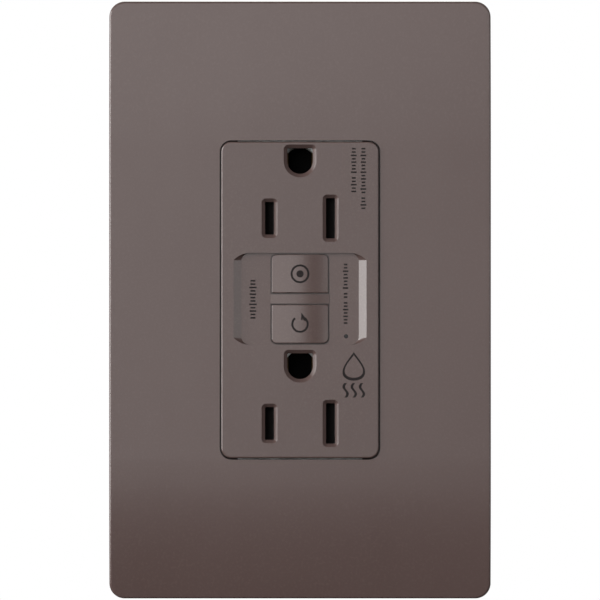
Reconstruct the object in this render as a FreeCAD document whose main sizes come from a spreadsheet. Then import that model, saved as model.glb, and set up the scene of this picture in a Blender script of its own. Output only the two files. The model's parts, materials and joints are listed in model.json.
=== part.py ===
import FreeCAD, Part
import math
import os
import Sketcher

# A ground-fault receptacle with its screwless wall plate, in millimetres. X runs to the right and Z up as
# it hangs on the wall, and +Y runs into the wall. The origin is on the wall plane, midway between the two
# screws that fasten the strap to the wall box. The line side is at the bottom and the hot side at -X.

SIZES = {
    # wall plate and the snap-on frame behind it
    "plate_width": 79.5,
    "plate_height": 124.5,
    "plate_depth": 6.5,
    "plate_wall": 2.0,
    "plate_corner": 3.2,
    "plate_edge_round": 0.5,
    "plate_curve_length": 29.0,
    "plate_curve_drop": 2.3,
    "opening_corner": 2.4,
    "lug_reach": 2.65,
    "lug_length": 8.0,
    "lug_offset": 22.0,
    "lug_set_back": 0.4,
    "snap_gap": 0.1,
    "frame_thickness": 1.4,
    "frame_end_gap": 3.25,
    "frame_corner": 4.0,
    "frame_opening_gap": 0.8,
    # face cover
    "face_width": 32.8,
    "face_height": 65.9,
    "face_corner": 2.1,
    "face_gap": 0.3,
    "face_proud": 0.4,
    "face_wall": 1.9,
    "face_side_wall": 1.6,
    "face_end_wall": 1.2,
    "face_edge_round": 0.35,
    "shoulder": 4.6,
    "shoulder_thickness": 1.6,
    "end_shoulder": 0.55,
    "boss_radius": 2.1,
    "boss_depth": 5.4,
    "boss_from_side": 3.8,
    "boss_from_end": 3.7,
    # blade slots and ground holes, with the chamfer around each
    "blade_spacing": 12.7,
    "upper_blade_height": 17.03,
    "receptacle_pitch": 42.73,
    "ground_rise": 11.89,
    "slot_width": 1.86,
    "hot_slot_height": 6.8,
    "neutral_slot_height": 8.4,
    "slot_corner": 0.2,
    "slot_chamfer": 0.72,
    "ground_radius": 2.65,
    "ground_flat": 2.7,
    "ground_corner": 0.3,
    "ground_chamfer": 0.75,
    # sunken panel with the two buttons
    "recess_centre": 0.22,
    "recess_height": 19.15,
    "recess_width": 24.5,
    "recess_slope": 1.6,
    "recess_depth": 0.85,
    "recess_corner_width": 1.9,
    "recess_corner_height": 1.5,
    "button_width": 11.8,
    "button_height": 8.05,
    "button_pitch": 10.47,
    "button_corner": 1.1,
    "button_gap": 0.15,
    "bezel_gap": 0.24,
    "button_rim_rise": 0.1,
    "button_crown": 0.55,
    "button_edge_round": 0.22,
    "button_flange": 0.5,
    "button_flange_thickness": 0.8,
    "button_play": 0.05,
    "reset_pop": 1.0,
    "test_stem_width": 3.0,
    "test_stem_depth": 3.7,
    # indicator
    "lamp_offset": 9.6,
    "lamp_height": -7.56,
    "lamp_tip_radius": 0.45,
    "lamp_pipe_radius": 0.8,
    "lamp_fit": 0.02,
    "lamp_clearance": 0.35,
    "led_radius": 1.5,
    "led_length": 2.5,
    # strap and its screws
    "strap_thickness": 1.2,
    "strap_length": 106.4,
    "strap_width": 44.5,
    "strap_corner": 3.0,
    "strap_band_width": 26.0,
    "ear_start": 36.6,
    "ear_notch": 1.4,
    "ear_notch_offset": 15.4,
    "box_screw_spacing": 83.34,
    "plate_screw_spacing": 96.8,
    "box_slot_length": 7.0,
    "box_slot_height": 3.9,
    "box_slot_corner": 1.6,
    "strap_window_width": 6.2,
    "strap_window_height": 10.8,
    "ground_clearance": 0.55,
    "box_thread_radius": 1.75,
    "box_thread_length": 24.0,
    "box_head_radius": 3.4,
    "box_head_height": 1.9,
    "head_room": 0.25,
    "screw_slot_width": 0.9,
    "screw_slot_depth": 0.7,
    "neck_radius": 1.5,
    "retainer_radius": 3.6,
    "retainer_thickness": 0.5,
    "plate_thread_radius": 1.75,
    "plate_thread_length": 5.2,
    "plate_head_radius": 3.3,
    "plate_head_height": 0.9,
    "plate_head_sink": 0.5,
    "thread_gap": 0.05,
    # green grounding screw on a tab bent back from the strap
    "ground_tab_offset": 13.6,
    "ground_tab_height": 7.4,
    "ground_tab_depth": 11.0,
    "ground_tab_centre": -40.3,
    "ground_screw_depth": 6.6,
    "ground_screw_radius": 1.75,
    "ground_screw_length": 6.5,
    "ground_head_width": 7.0,
    "ground_head_height": 2.5,
    # blade and ground contacts
    "contact_start": 4.0,
    "contact_depth": 8.0,
    "contact_metal": 0.5,
    "contact_half_gap": 0.95,
    "contact_flare": 0.4,
    "contact_height": 7.6,
    "ground_leaf_height": 4.4,
    "ground_leaf_end": 11.0,
    "ground_leaf_half_gap": 2.45,
    "ground_base_width": 6.8,
    "ground_base_drop": 4.0,
    # shutters
    "shutter_play": 0.1,
    "shutter_travel": 2.2,
    "shutter_half_height": 4.85,
    "shutter_window_half_height": 4.35,
    "shutter_window_width": 2.4,
    "shutter_end": 2.65,
    "tray_half_height": 5.55,
    "tray_half_width": 13.2,
    "tray_side": 0.8,
    "tray_end": 0.6,
    "tray_floor": 0.75,
    "tray_gap": 0.05,
    "shutter_spring_radius": 1.0,
    "shutter_spring_wire": 0.15,
    "shutter_spring_turns": 5,
    # insulating middle frame
    "cell_depth": 12.8,
    "cell_floor": 1.2,
    "cell_wall": 1.2,
    "cell_half_width": 12.4,
    "cell_end_gap": 1.6,
    "partition_offset": 3.6,
    "partition_width": 0.8,
    "flange_thickness": 1.2,
    "flange_gap": 0.2,
    "flange_half_length": 27.0,
    "rail_gap": 0.25,
    # rear housing
    "housing_wall": 1.5,
    "mechanism_depth": 10.9,
    "board_thickness": 1.6,
    "board_gap": 1.0,
    "board_rest": 3.0,
    "board_rest_x": 10.0,
    "board_rest_z": 28.5,
    "rear_wall": 1.5,
    "rib_length": 6.0,
    "rib_width": 4.0,
    "housing_screw_radius": 1.1,
    "housing_screw_fit": 0.15,
    "housing_head_radius": 2.1,
    "housing_head_height": 0.9,
    "housing_head_inset": 0.1,
    # wiring terminals
    "terminal_height": 23.0,
    "terminal_depth": 9.0,
    "terminal_metal": 1.0,
    "terminal_plate_height": 9.0,
    "terminal_plate_end": 13.5,
    "terminal_inset": 2.1,
    "terminal_screw_radius": 1.6,
    "terminal_screw_length": 5.7,
    "terminal_head_radius": 3.6,
    "terminal_head_height": 2.4,
    "terminal_hole_gap": 0.25,
    "clamp_thickness": 1.5,
    "clamp_gap": 0.5,
    "clamp_height": 8.4,
    "clamp_length": 7.0,
    "clamp_travel": 2.38,
    "window_margin": 0.4,
    "window_end": 14.6,
    "wire_slot_width": 2.8,
    "wire_slot_height": 8.6,
    "line_tail_width": 1.4,
    # circuit board and what stands on it
    "board_half_width": 14.5,
    "board_end_gap": 0.4,
    "wing_half_width": 19.2,
    "wing_top": -6.0,
    "wing_bottom": -18.3,
    "coil_height": 20.0,
    "coil_case_radius": 7.8,
    "coil_case_wall": 0.6,
    "coil_tube_radius": 2.6,
    "coil_tube_wall": 0.5,
    "coil_ring_gap": 0.3,
    "coil_ring_depth": 3.8,
    "coil_case_front": 0.6,
    "conductor_offset": 1.25,
    "conductor_radius": 0.8,
    # switching contacts
    "arm_metal": 0.4,
    "arm_width": 3.4,
    "arm_offset": 8.5,
    "arm_front": 2.6,
    "arm_end": -4.2,
    "arm_pivot_height": 11.6,
    "tip_radius": 1.2,
    "tip_height": -2.0,
    "tip_gap": 0.05,
    "foot_front": 0.7,
    "foot_width": 3.1,
    "jumper_front": 0.15,
    "jumper_metal": 0.35,
    "jumper_width": 2.4,
    "jumper_foot": 2.0,
    # latch and reset pin
    "block_half_width": 5.0,
    "block_height": 8.0,
    "block_front": 3.6,
    "block_depth": 2.9,
    "wing_reach": 10.2,
    "wing_play": 0.1,
    "wing_thickness": 1.5,
    "reset_pin_radius": 1.2,
    "reset_pin_neck": 0.8,
    "reset_pin_grip": 2.0,
    "reset_pin_play": 0.3,
    "reset_pin_end": 8.0,
    "reset_spring_radius": 1.9,
    "reset_spring_wire": 0.14,
    "reset_spring_turns": 2,
    "latch_metal": 0.6,
    "latch_half_width": 3.0,
    "latch_gap": 0.2,
    "latch_reach": 9.0,
    "latch_travel": 1.2,
    # solenoid
    "solenoid_depth": 5.4,
    "solenoid_start": -15.1,
    "solenoid_length": 13.0,
    "solenoid_half_width": 5.0,
    "solenoid_metal": 0.8,
    "bobbin_radius": 4.5,
    "bobbin_flange": 0.8,
    "bobbin_bore": 1.65,
    "bobbin_tube": 0.45,
    "winding_radius": 4.2,
    "plunger_radius": 1.5,
    "plunger_nose": 1.0,
    "plunger_collar": 2.6,
    "plunger_collar_length": 0.6,
    "plunger_tail": 3.3,
    "plunger_spring_wire": 0.15,
    "plunger_spring_turns": 3.5,
    # test contact
    "test_leaf_width": 2.6,
    "test_leaf_metal": 0.3,
    "test_leaf_gap": 0.2,
    "test_leaf_end": 10.8,
    # parts on the board
    "varistor_x": -12.6,
    "varistor_height": -23.0,
    "varistor_radius": 4.6,
    "varistor_thickness": 4.0,
    "varistor_lift": 0.4,
    "lead_radius": 0.35,
    "film_x": 6.2,
    "film_z": -28.0,
    "film_width": 6.4,
    "film_length": 8.5,
    "film_depth": 7.5,
    "can_x": 11.4,
    "can_z": -13.5,
    "can_radius": 2.4,
    "chip_x": -9.5,
    "chip_z": -12.0,
    "chip_width": 4.0,
    "chip_length": 5.0,
    "chip_height": 1.5,
    "chip_leg_pitch": 1.27,
    "chip_leg_width": 0.42,
    "resistor_x": 9.6,
    "resistor_z": 3.0,
    "resistor_pitch": 2.6,
    "resistor_length": 6.3,
    "resistor_radius": 0.95,
}


class Size:
    """A length that carries its number and the spreadsheet expression it was worked out from."""

    def __init__(self, value, text):
        self.value = value
        self.text = text

    def __add__(self, other):
        return Size(self.value + number(other), f"({self.text} + {words(other)})")

    def __radd__(self, other):
        return Size(number(other) + self.value, f"({words(other)} + {self.text})")

    def __sub__(self, other):
        return Size(self.value - number(other), f"({self.text} - {words(other)})")

    def __rsub__(self, other):
        return Size(number(other) - self.value, f"({words(other)} - {self.text})")

    def __mul__(self, other):
        return Size(self.value * number(other), f"({self.text} * {words(other)})")

    def __rmul__(self, other):
        return Size(number(other) * self.value, f"({words(other)} * {self.text})")

    def __truediv__(self, other):
        return Size(self.value / number(other), f"({self.text} / {words(other)})")

    def __neg__(self):
        return Size(-self.value, f"(0 - {self.text})")


def number(size):
    return size.value if isinstance(size, Size) else float(size)


def words(size):
    return size.text if isinstance(size, Size) else f"{size:.10g}"


def root(size):
    return Size(math.sqrt(size.value), f"sqrt({size.text})")


ZERO = Size(0.0, "0")


class Dimensions:
    """Writes the driving sizes into the document's spreadsheet and hands each out by its alias."""

    def __init__(self, document, sizes):
        sheet = document.addObject("Spreadsheet::Sheet", "dims")
        for row, (alias, value) in enumerate(sizes.items(), 1):
            sheet.set(f"A{row}", str(value))
            sheet.setAlias(f"A{row}", alias)
            setattr(self, alias, Size(value, f"dims.{alias}"))


document = FreeCAD.newDocument("GfciOutlet")
d = Dimensions(document, SIZES)
document.recompute()

# ---------------------------------------------------------------- places that several pieces share

face_front = -(d.plate_depth + d.face_proud)
face_inside = face_front + d.face_wall
strap_front = -d.strap_thickness
frame_front = strap_front - d.frame_thickness
floor_back = d.cell_depth + d.cell_floor
board_front = floor_back + d.mechanism_depth
board_back = board_front + d.board_thickness
rear_inside = board_back + d.board_gap
rear_outside = rear_inside + d.rear_wall

blade_x = d.blade_spacing / 2
lower_blade_height = d.upper_blade_height - d.receptacle_pitch
blade_heights = {"upper": d.upper_blade_height, "lower": lower_blade_height}
ground_heights = {name: height + d.ground_rise for name, height in blade_heights.items()}

housing_half_width = d.face_width / 2 + d.shoulder
housing_half_height = d.face_height / 2 + d.end_shoulder
housing_inner_half_width = housing_half_width - d.housing_wall
housing_inner_half_height = housing_half_height - d.housing_wall
cell_half_height = housing_half_height - d.cell_end_gap
boss_x = housing_half_width - d.boss_from_side
boss_z = housing_half_height - d.boss_from_end
boss_back = d.shoulder_thickness + d.boss_depth

opening_half_width = d.face_width / 2 + d.face_gap
opening_half_height = d.face_height / 2 + d.face_gap
frame_half_width = d.plate_width / 2 - d.plate_wall - d.lug_reach - d.snap_gap
frame_half_height = d.plate_height / 2 - d.plate_wall - d.frame_end_gap

test_height = d.recess_centre + d.button_pitch / 2
reset_height = d.recess_centre - d.button_pitch / 2
recess_floor = face_front + d.recess_depth
button_rim = recess_floor - d.button_rim_rise
test_flange_front = face_inside + d.button_play
reset_flange_front = face_inside + d.button_play + d.reset_pop
test_stem_end = d.test_stem_depth

terminal_outer = housing_half_width - d.terminal_inset
terminal_inner = terminal_outer - d.terminal_metal
clamp_outer = terminal_inner - d.clamp_gap
clamp_inner = clamp_outer - d.clamp_thickness

arm_front = floor_back + d.arm_front
arm_back = arm_front + d.arm_metal
foot_front = floor_back + d.foot_front
foot_back = foot_front + d.contact_metal
latch_front = floor_back + d.block_front + d.block_depth + d.latch_gap
solenoid_depth = floor_back + d.solenoid_depth
solenoid_end = d.solenoid_start - d.solenoid_length
reset_pin_end = floor_back + d.reset_pin_end
contact_front = d.contact_start + d.contact_flare
tip_seam = (foot_back + arm_front) / 2
led_front = board_front - d.led_length
tray_front = face_inside + d.tray_gap
tray_back = strap_front - d.button_gap
shutter_front = tray_front + d.shutter_play
shutter_back = tray_back - d.tray_floor - d.shutter_play
housing_head_seat = rear_outside - d.housing_head_height - d.housing_head_inset

# ---------------------------------------------------------------- building blocks

TURNS = {
    "x": FreeCAD.Rotation(FreeCAD.Vector(0, 1, 0), 90),
    "y": FreeCAD.Rotation(FreeCAD.Vector(1, 0, 0), -90),
    "z": FreeCAD.Rotation(),
}
PLANES = {"front": "XZ_Plane", "side": "YZ_Plane", "level": "XY_Plane"}
HEXAGON_SIDES = 6
TINY = 1e-6


def bind(item, name, size):
    item.setExpression(name, words(size))


def around(centre, width):
    """The span of a given width about a centre."""
    return centre - width / 2, centre + width / 2


def both_ways(half):
    return -half, half


def mirrored(side, span):
    """The span as given for side 1, and its mirror image about zero for side -1."""
    low, high = span
    return (low, high) if side > 0 else (-high, -low)


def move_to(item, place):
    for axis, size in zip("xyz", place):
        bind(item, f"Placement.Base.{axis}", size)


def box(name, x, y, z):
    item = document.addObject("Part::Box", name)
    for prop, (low, high) in zip(("Length", "Width", "Height"), (x, y, z)):
        bind(item, prop, high - low)
    move_to(item, (x[0], y[0], z[0]))
    return item


def axis_place(axis, centre, start):
    """The point at start along the axis, through centre given as the other two coordinates."""
    place = list(centre)
    place.insert("xyz".index(axis), start)
    return place


def rod(name, axis, centre, span, radius):
    item = document.addObject("Part::Cylinder", name)
    bind(item, "Radius", radius)
    bind(item, "Height", span[1] - span[0])
    item.Placement.Rotation = TURNS[axis]
    move_to(item, axis_place(axis, centre, span[0]))
    return item


def cone(name, axis, centre, span, start_radius, end_radius):
    item = document.addObject("Part::Cone", name)
    bind(item, "Radius1", start_radius)
    bind(item, "Radius2", end_radius)
    bind(item, "Height", span[1] - span[0])
    item.Placement.Rotation = TURNS[axis]
    move_to(item, axis_place(axis, centre, span[0]))
    return item


def coil(name, axis, centre, span, radius, wire, turns):
    """A compression spring whose wire stays inside the span."""
    length = span[1] - span[0] - 2 * wire
    helix = document.addObject("Part::Helix", f"{name}_path")
    bind(helix, "Radius", radius)
    bind(helix, "Height", length)
    bind(helix, "Pitch", length / turns)
    section = document.addObject("Part::Circle", f"{name}_wire")
    bind(section, "Radius", wire)
    section.Placement.Rotation = FreeCAD.Rotation(FreeCAD.Vector(1, 0, 0), 90)
    bind(section, "Placement.Base.x", radius)
    item = document.addObject("Part::Sweep", name)
    item.Sections = [section]
    item.Spine = (helix, [])
    item.Solid = True
    item.Frenet = True
    item.Placement.Rotation = TURNS[axis]
    move_to(item, axis_place(axis, centre, span[0] + wire))
    return item


def fuse(name, pieces):
    item = document.addObject("Part::MultiFuse", name)
    item.Shapes = list(pieces)
    item.Refine = True
    return item


def cut(name, base, tools):
    tools = list(tools)
    item = document.addObject("Part::Cut", name)
    item.Base = base
    item.Tool = tools[0] if len(tools) == 1 else fuse(f"{name}_tool", tools)
    item.Refine = True
    return item


def group(name, pieces):
    item = document.addObject("Part::Compound", name)
    item.Links = list(pieces)
    return item


# ---------------------------------------------------------------- sketched bodies


def new_body(name):
    return document.addObject("PartDesign::Body", name)


def rectangle(u, v):
    return [(u[0], v[0]), (u[1], v[0]), (u[1], v[1]), (u[0], v[1])]


def rounded(u, v, radius):
    """A rectangle with round corners; a third entry is the radius of the arc that leaves the point."""
    return [
        (u[0] + radius, v[0]),
        (u[1] - radius, v[0], radius),
        (u[1], v[0] + radius),
        (u[1], v[1] - radius, radius),
        (u[1] - radius, v[1]),
        (u[0] + radius, v[1], radius),
        (u[0], v[1] - radius),
        (u[0], v[0] + radius, radius),
    ]


def circle(u, v, radius):
    return {"centre": (u, v), "radius": radius}


def pin_point(sketch, geometry, end, point):
    """Ties one point of a sketch to its two coordinates."""
    for kind, size in zip(("DistanceX", "DistanceY"), point):
        index = sketch.addConstraint(Sketcher.Constraint(kind, -1, 1, geometry, end, number(size)))
        bind(sketch, f"Constraints[{index}]", size)


def pin_radius(sketch, geometry, radius):
    index = sketch.addConstraint(Sketcher.Constraint("Radius", geometry, number(radius)))
    bind(sketch, f"Constraints[{index}]", radius)


def arc_between(start, end, radius):
    """The arc of a radius that turns left from start to end."""
    chord = end - start
    rise = math.sqrt(radius**2 - (chord.Length / 2) ** 2)
    across = FreeCAD.Vector(-chord.y, chord.x, 0).normalize()
    centre = (start + end) / 2 + across * rise
    angles = [math.atan2((point - centre).y, (point - centre).x) for point in (start, end)]
    ring = Part.Circle(centre, FreeCAD.Vector(0, 0, 1), radius)
    return Part.ArcOfCircle(ring, angles[0], angles[1])


def draw_circle(sketch, ring):
    centre = FreeCAD.Vector(*(number(size) for size in ring["centre"]), 0)
    shape = Part.Circle(centre, FreeCAD.Vector(0, 0, 1), number(ring["radius"]))
    index = sketch.addGeometry(shape, False)
    pin_point(sketch, index, 3, ring["centre"])
    pin_radius(sketch, index, ring["radius"])


def draw_path(sketch, path):
    points = [FreeCAD.Vector(number(corner[0]), number(corner[1]), 0) for corner in path]
    indices = []
    for corner, start, end in zip(path, points, points[1:] + points[:1]):
        if len(corner) == 3:
            shape = arc_between(start, end, number(corner[2]))
        else:
            shape = Part.LineSegment(start, end)
        indices.append(sketch.addGeometry(shape, False))
    for index, following in zip(indices, indices[1:] + indices[:1]):
        sketch.addConstraint(Sketcher.Constraint("Coincident", index, 2, following, 1))
    for corner, index in zip(path, indices):
        pin_point(sketch, index, 1, corner[:2])
        if len(corner) == 3:
            pin_radius(sketch, index, corner[2])


def draw(body, plane, place, loops):
    """A sketch on one of the body's own planes, moved along that plane's axis to a place."""
    sketch = body.newObject("Sketcher::SketchObject", f"{body.Name}_sketch")
    origin = [item for item in body.Origin.OriginFeatures if item.Role == PLANES[plane]]
    sketch.AttachmentSupport = [(origin[0], "")]
    sketch.MapMode = "FlatFace"
    bind(sketch, "AttachmentOffset.Base.z", -place if plane == "front" else place + 0)
    for loop in loops:
        if isinstance(loop, dict):
            draw_circle(sketch, loop)
        else:
            draw_path(sketch, loop)
    return sketch


def extrude(body, kind, plane, span, loops):
    low, high = span
    sketch = draw(body, plane, high if plane == "front" else low, loops)
    feature = body.newObject(kind, f"{body.Name}_feature")
    feature.Profile = sketch
    bind(feature, "Length", high - low)
    return feature


def pad(body, plane, span, loops):
    extrude(body, "PartDesign::Pad", plane, span, loops)


def pocket(body, plane, span, loops):
    document.recompute()
    before = body.Shape.Volume
    feature = extrude(body, "PartDesign::Pocket", plane, span, loops)
    feature.Reversed = True
    document.recompute()
    if body.Shape.Volume > before - TINY:
        raise RuntimeError(f"a pocket in {body.Name} removes nothing")


def dress(body, kind, prop, size, wanted):
    """Rounds or chamfers the edges that a test on their bounding boxes picks out."""
    document.recompute()
    base = body.Tip
    names = [f"Edge{n}" for n, edge in enumerate(base.Shape.Edges, 1) if wanted(edge.BoundBox)]
    if not names:
        raise RuntimeError(f"no edge of {body.Name} was picked")
    feature = body.newObject(kind, f"{body.Name}_dress")
    feature.Base = (base, names)
    bind(feature, prop, size)


def round_edges(body, radius, wanted):
    dress(body, "PartDesign::Fillet", "Radius", radius, wanted)


def chamfer_edges(body, size, wanted):
    dress(body, "PartDesign::Chamfer", "Size", size, wanted)


def near(a, b):
    return abs(a - number(b)) < 1e-4


def lies_at(low, high, place):
    return near(low, place) and near(high, place)


def within(bounds, x, z):
    """Whether a bounding box lies inside the x and z spans, both grown by a hair."""
    hair = 1e-3
    inside_x = number(x[0]) - hair < bounds.XMin and bounds.XMax < number(x[1]) + hair
    inside_z = number(z[0]) - hair < bounds.ZMin and bounds.ZMax < number(z[1]) + hair
    return inside_x and inside_z


# ---------------------------------------------------------------- wall plate and its frame


def plate_outline(inset, height_inset):
    """The plate's side section: flat in the middle, curving back towards the top and the bottom."""
    length = d.plate_curve_length - height_inset
    full_radius = (d.plate_curve_length * d.plate_curve_length) / (2 * d.plate_curve_drop)
    radius = full_radius + d.plate_curve_drop / 2 - inset
    bend = d.plate_height / 2 - d.plate_curve_length
    front = -d.plate_depth + inset
    end = bend + length
    end_front = front + radius - root(radius * radius - length * length)
    return [
        (front, bend),
        (front, -bend, radius),
        (end_front, -end),
        (ZERO, -end),
        (ZERO, end),
        (end_front, end, radius),
    ]


def wall_plate():
    body = new_body("wall_plate")
    pad(body, "side", both_ways(d.plate_width / 2), [plate_outline(ZERO, ZERO)])
    round_edges(body, d.plate_corner, lambda b: b.XLength < TINY and b.ZLength < TINY)
    narrow = number(d.plate_width) / 4
    round_edges(
        body, d.plate_edge_round, lambda b: b.YMax < -TINY and (b.XLength < narrow or b.ZLength < TINY)
    )
    inner_half_width = d.plate_width / 2 - d.plate_wall
    pocket(body, "side", both_ways(inner_half_width), [plate_outline(d.plate_wall, d.plate_wall)])
    opening = rounded(both_ways(opening_half_width), both_ways(opening_half_height), d.opening_corner)
    pocket(body, "front", (-d.plate_depth, -d.plate_depth + d.plate_wall), [opening])
    lug_y = (-d.plate_depth + d.plate_wall, -d.lug_set_back)
    for side in (-1, 1):
        lug_x = mirrored(side, (inner_half_width - d.lug_reach, inner_half_width))
        for end in (-1, 1):
            lug_z = around(end * d.lug_offset, d.lug_length)
            pad(body, "front", lug_y, [rectangle(lug_x, lug_z)])
    return body


def plate_frame():
    body = new_body("plate_frame")
    outline = rounded(both_ways(frame_half_width), both_ways(frame_half_height), d.frame_corner)
    opening = rounded(
        both_ways(opening_half_width + d.frame_opening_gap),
        both_ways(opening_half_height + d.frame_opening_gap),
        d.opening_corner + d.frame_opening_gap,
    )
    holes = []
    for end in (-1, 1):
        holes.append(circle(ZERO, end * d.plate_screw_spacing / 2, d.plate_thread_radius + d.head_room))
    pad(body, "front", (frame_front, strap_front), [outline, opening] + holes)
    for end in (-1, 1):
        sink = circle(ZERO, end * d.plate_screw_spacing / 2, d.plate_head_radius + d.head_room)
        pocket(body, "front", (frame_front, frame_front + d.plate_head_sink), [sink])
        passage = circle(ZERO, end * d.box_screw_spacing / 2, d.retainer_radius + d.head_room)
        pocket(body, "front", (frame_front, strap_front), [passage])
    return body


def slotted_screw(name, axis, centre, head, shank, head_radius, shank_radius, slot_from_low):
    """A round-headed screw with a driver slot across the outer end of its head."""
    solid = fuse(
        f"{name}_solid",
        [
            rod(f"{name}_head", axis, centre, head, head_radius),
            rod(f"{name}_shank", axis, centre, shank, shank_radius),
        ],
    )
    if slot_from_low:
        depth = (head[0] - d.screw_slot_depth, head[0] + d.screw_slot_depth)
    else:
        depth = (head[1] - d.screw_slot_depth, head[1] + d.screw_slot_depth)
    spans = [around(place, 3 * head_radius) for place in centre]
    spans[0] = around(centre[0], d.screw_slot_width)
    spans.insert("xyz".index(axis), depth)
    return cut(name, solid, [box(f"{name}_slot", *spans)])


def plate_screws():
    screws = []
    for end in (-1, 1):
        centre = (ZERO, end * d.plate_screw_spacing / 2)
        seat = frame_front + d.plate_head_sink
        head = (seat - d.plate_head_height, seat)
        shank = (seat, seat + d.plate_thread_length)
        screws.append(
            slotted_screw(
                f"plate_screw_{end + 2}",
                "y",
                centre,
                head,
                shank,
                d.plate_head_radius,
                d.plate_thread_radius,
                True,
            )
        )
    return group("plate_screws", screws)


# ---------------------------------------------------------------- face cover, buttons and lamp


def slot_sizes(side):
    return d.hot_slot_height if side < 0 else d.neutral_slot_height


def ground_outline(centre):
    """A ground hole: half a circle below, straight sides and a flat top with small round corners."""
    radius = d.ground_radius
    corner = d.ground_corner
    top = centre + d.ground_flat
    return [
        (-radius, centre + 0, radius),
        (ZERO, centre - radius, radius),
        (radius + 0, centre + 0),
        (radius + 0, top - corner, corner),
        (radius - corner, top),
        (corner - radius, top, corner),
        (-radius, top - corner),
    ]


def face_shell(body):
    """The front block with its side walls, the shoulders behind it and the screw bosses."""
    outline = rounded(both_ways(d.face_width / 2), both_ways(d.face_height / 2), d.face_corner)
    pad(body, "front", (face_front, ZERO), [outline])
    round_edges(body, d.face_edge_round, lambda b: lies_at(b.YMin, b.YMax, face_front))
    hollow = rectangle(
        both_ways(d.face_width / 2 - d.face_side_wall), both_ways(d.face_height / 2 - d.face_end_wall)
    )
    pocket(body, "front", (face_inside, ZERO), [hollow])
    strap_gap = strap_front - d.button_gap
    notch = rectangle(both_ways(d.strap_band_width / 2 + d.face_gap), both_ways(d.face_height))
    pocket(body, "front", (strap_gap, ZERO), [notch])
    for side in (-1, 1):
        rail = mirrored(side, (d.face_width / 2 - d.face_side_wall, housing_half_width))
        pad(body, "front", (ZERO, d.shoulder_thickness), [rectangle(rail, both_ways(housing_half_height))])
    for side in (-1, 1):
        for end in (-1, 1):
            spot = circle(side * boss_x, end * boss_z, d.boss_radius)
            pad(body, "front", (d.shoulder_thickness, boss_back), [spot])
    for side in (-1, 1):
        for end in (-1, 1):
            spot = circle(side * boss_x, end * boss_z, d.housing_screw_radius + d.thread_gap)
            pocket(body, "front", (d.shoulder_thickness, boss_back), [spot])


def recess_outline(half_width):
    """The sunken panel's outline, its corners bending smoothly out of the upper and lower sides."""
    flat_x = d.recess_width / 2 - d.recess_corner_width
    flat_z = d.recess_height / 2 - d.recess_corner_height
    low, high = around(d.recess_centre, d.recess_height)
    reach = half_width - flat_x
    rise = d.recess_corner_height
    bend = (reach * reach + rise * rise) / (2 * rise)
    return [
        (-flat_x, low),
        (flat_x + 0, low, bend),
        (half_width + 0, d.recess_centre - flat_z),
        (half_width + 0, d.recess_centre + flat_z, bend),
        (flat_x + 0, high),
        (-flat_x, high, bend),
        (-half_width, d.recess_centre + flat_z),
        (-half_width, d.recess_centre - flat_z, bend),
    ]


def face_recess(body):
    """The sunken panel: upright walls above and below, sloping walls left and right."""
    floor = draw(body, "front", recess_floor, [recess_outline(d.recess_width / 2)])
    mouth = draw(body, "front", face_front, [recess_outline(d.recess_width / 2 + d.recess_slope)])
    loft = body.newObject("PartDesign::SubtractiveLoft", "face_recess")
    loft.Profile = floor
    loft.Sections = [mouth]
    loft.Ruled = True


def face_openings(body):
    """Blade slots and ground holes with their lead-in chamfers, the button holes and the lamp hole."""
    through = (face_front, face_inside)
    for height in blade_heights.values():
        for side in (-1, 1):
            slot = rounded(
                around(side * blade_x, d.slot_width), around(height, slot_sizes(side)), d.slot_corner
            )
            pocket(body, "front", through, [slot])
    for centre in ground_heights.values():
        pocket(body, "front", through, [ground_outline(centre)])
    for end in (1, -1):
        pocket(body, "front", (recess_floor, face_inside), [button_outline(end, d.bezel_gap)])
    lamp = circle(d.lamp_offset, d.lamp_height, d.lamp_tip_radius)
    pocket(body, "front", (recess_floor, face_inside), [lamp])


def face_chamfers(body):
    """Bevels the rims of the blade slots and ground holes."""

    def slot_rim(bounds):
        if not lies_at(bounds.YMin, bounds.YMax, face_front):
            return False
        for height in blade_heights.values():
            for side in (-1, 1):
                if within(bounds, around(side * blade_x, d.slot_width), around(height, slot_sizes(side))):
                    return True
        return False

    def ground_rim(bounds):
        if not lies_at(bounds.YMin, bounds.YMax, face_front):
            return False
        for centre in ground_heights.values():
            if within(bounds, both_ways(d.ground_radius), (centre - d.ground_radius, centre + d.ground_flat)):
                return True
        return False

    chamfer_edges(body, d.slot_chamfer, slot_rim)
    chamfer_edges(body, d.ground_chamfer, ground_rim)


def bridge_crown(body):
    """The bar between the buttons, raised from the panel with the same crown as they have."""
    half_height = d.button_pitch / 2 - d.button_height / 2 - d.bezel_gap
    z = (d.recess_centre - half_height, d.recess_centre + half_height)
    pad(body, "level", z, [crown_section(recess_floor + 0, d.bezel_gap)])


def crown_section(back, grow):
    """The buttons' section from above: straight sides and a gently rounded front."""
    half = d.button_width / 2 + grow
    radius = (half * half + d.button_crown * d.button_crown) / (2 * d.button_crown)
    return [
        (-half, back),
        (-half, button_rim, radius),
        (half + 0, button_rim + 0),
        (half + 0, back),
    ]


def button_outline(end, grow):
    """A button's front outline, with its two corners away from the bridge round."""
    half_width = d.button_width / 2 + grow
    radius = d.button_corner + grow
    inner = end * (d.button_pitch - d.button_height) / 2 - end * grow + d.recess_centre
    outer = end * (d.button_pitch + d.button_height) / 2 + end * grow + d.recess_centre
    if end > 0:
        return [
            (-half_width, inner),
            (half_width, inner),
            (half_width, outer - radius, radius),
            (half_width - radius, outer),
            (radius - half_width, outer, radius),
            (-half_width, outer - radius),
        ]
    return [
        (half_width, inner),
        (-half_width, inner),
        (-half_width, outer + radius, radius),
        (radius - half_width, outer),
        (half_width - radius, outer, radius),
        (half_width, outer + radius),
    ]


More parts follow.
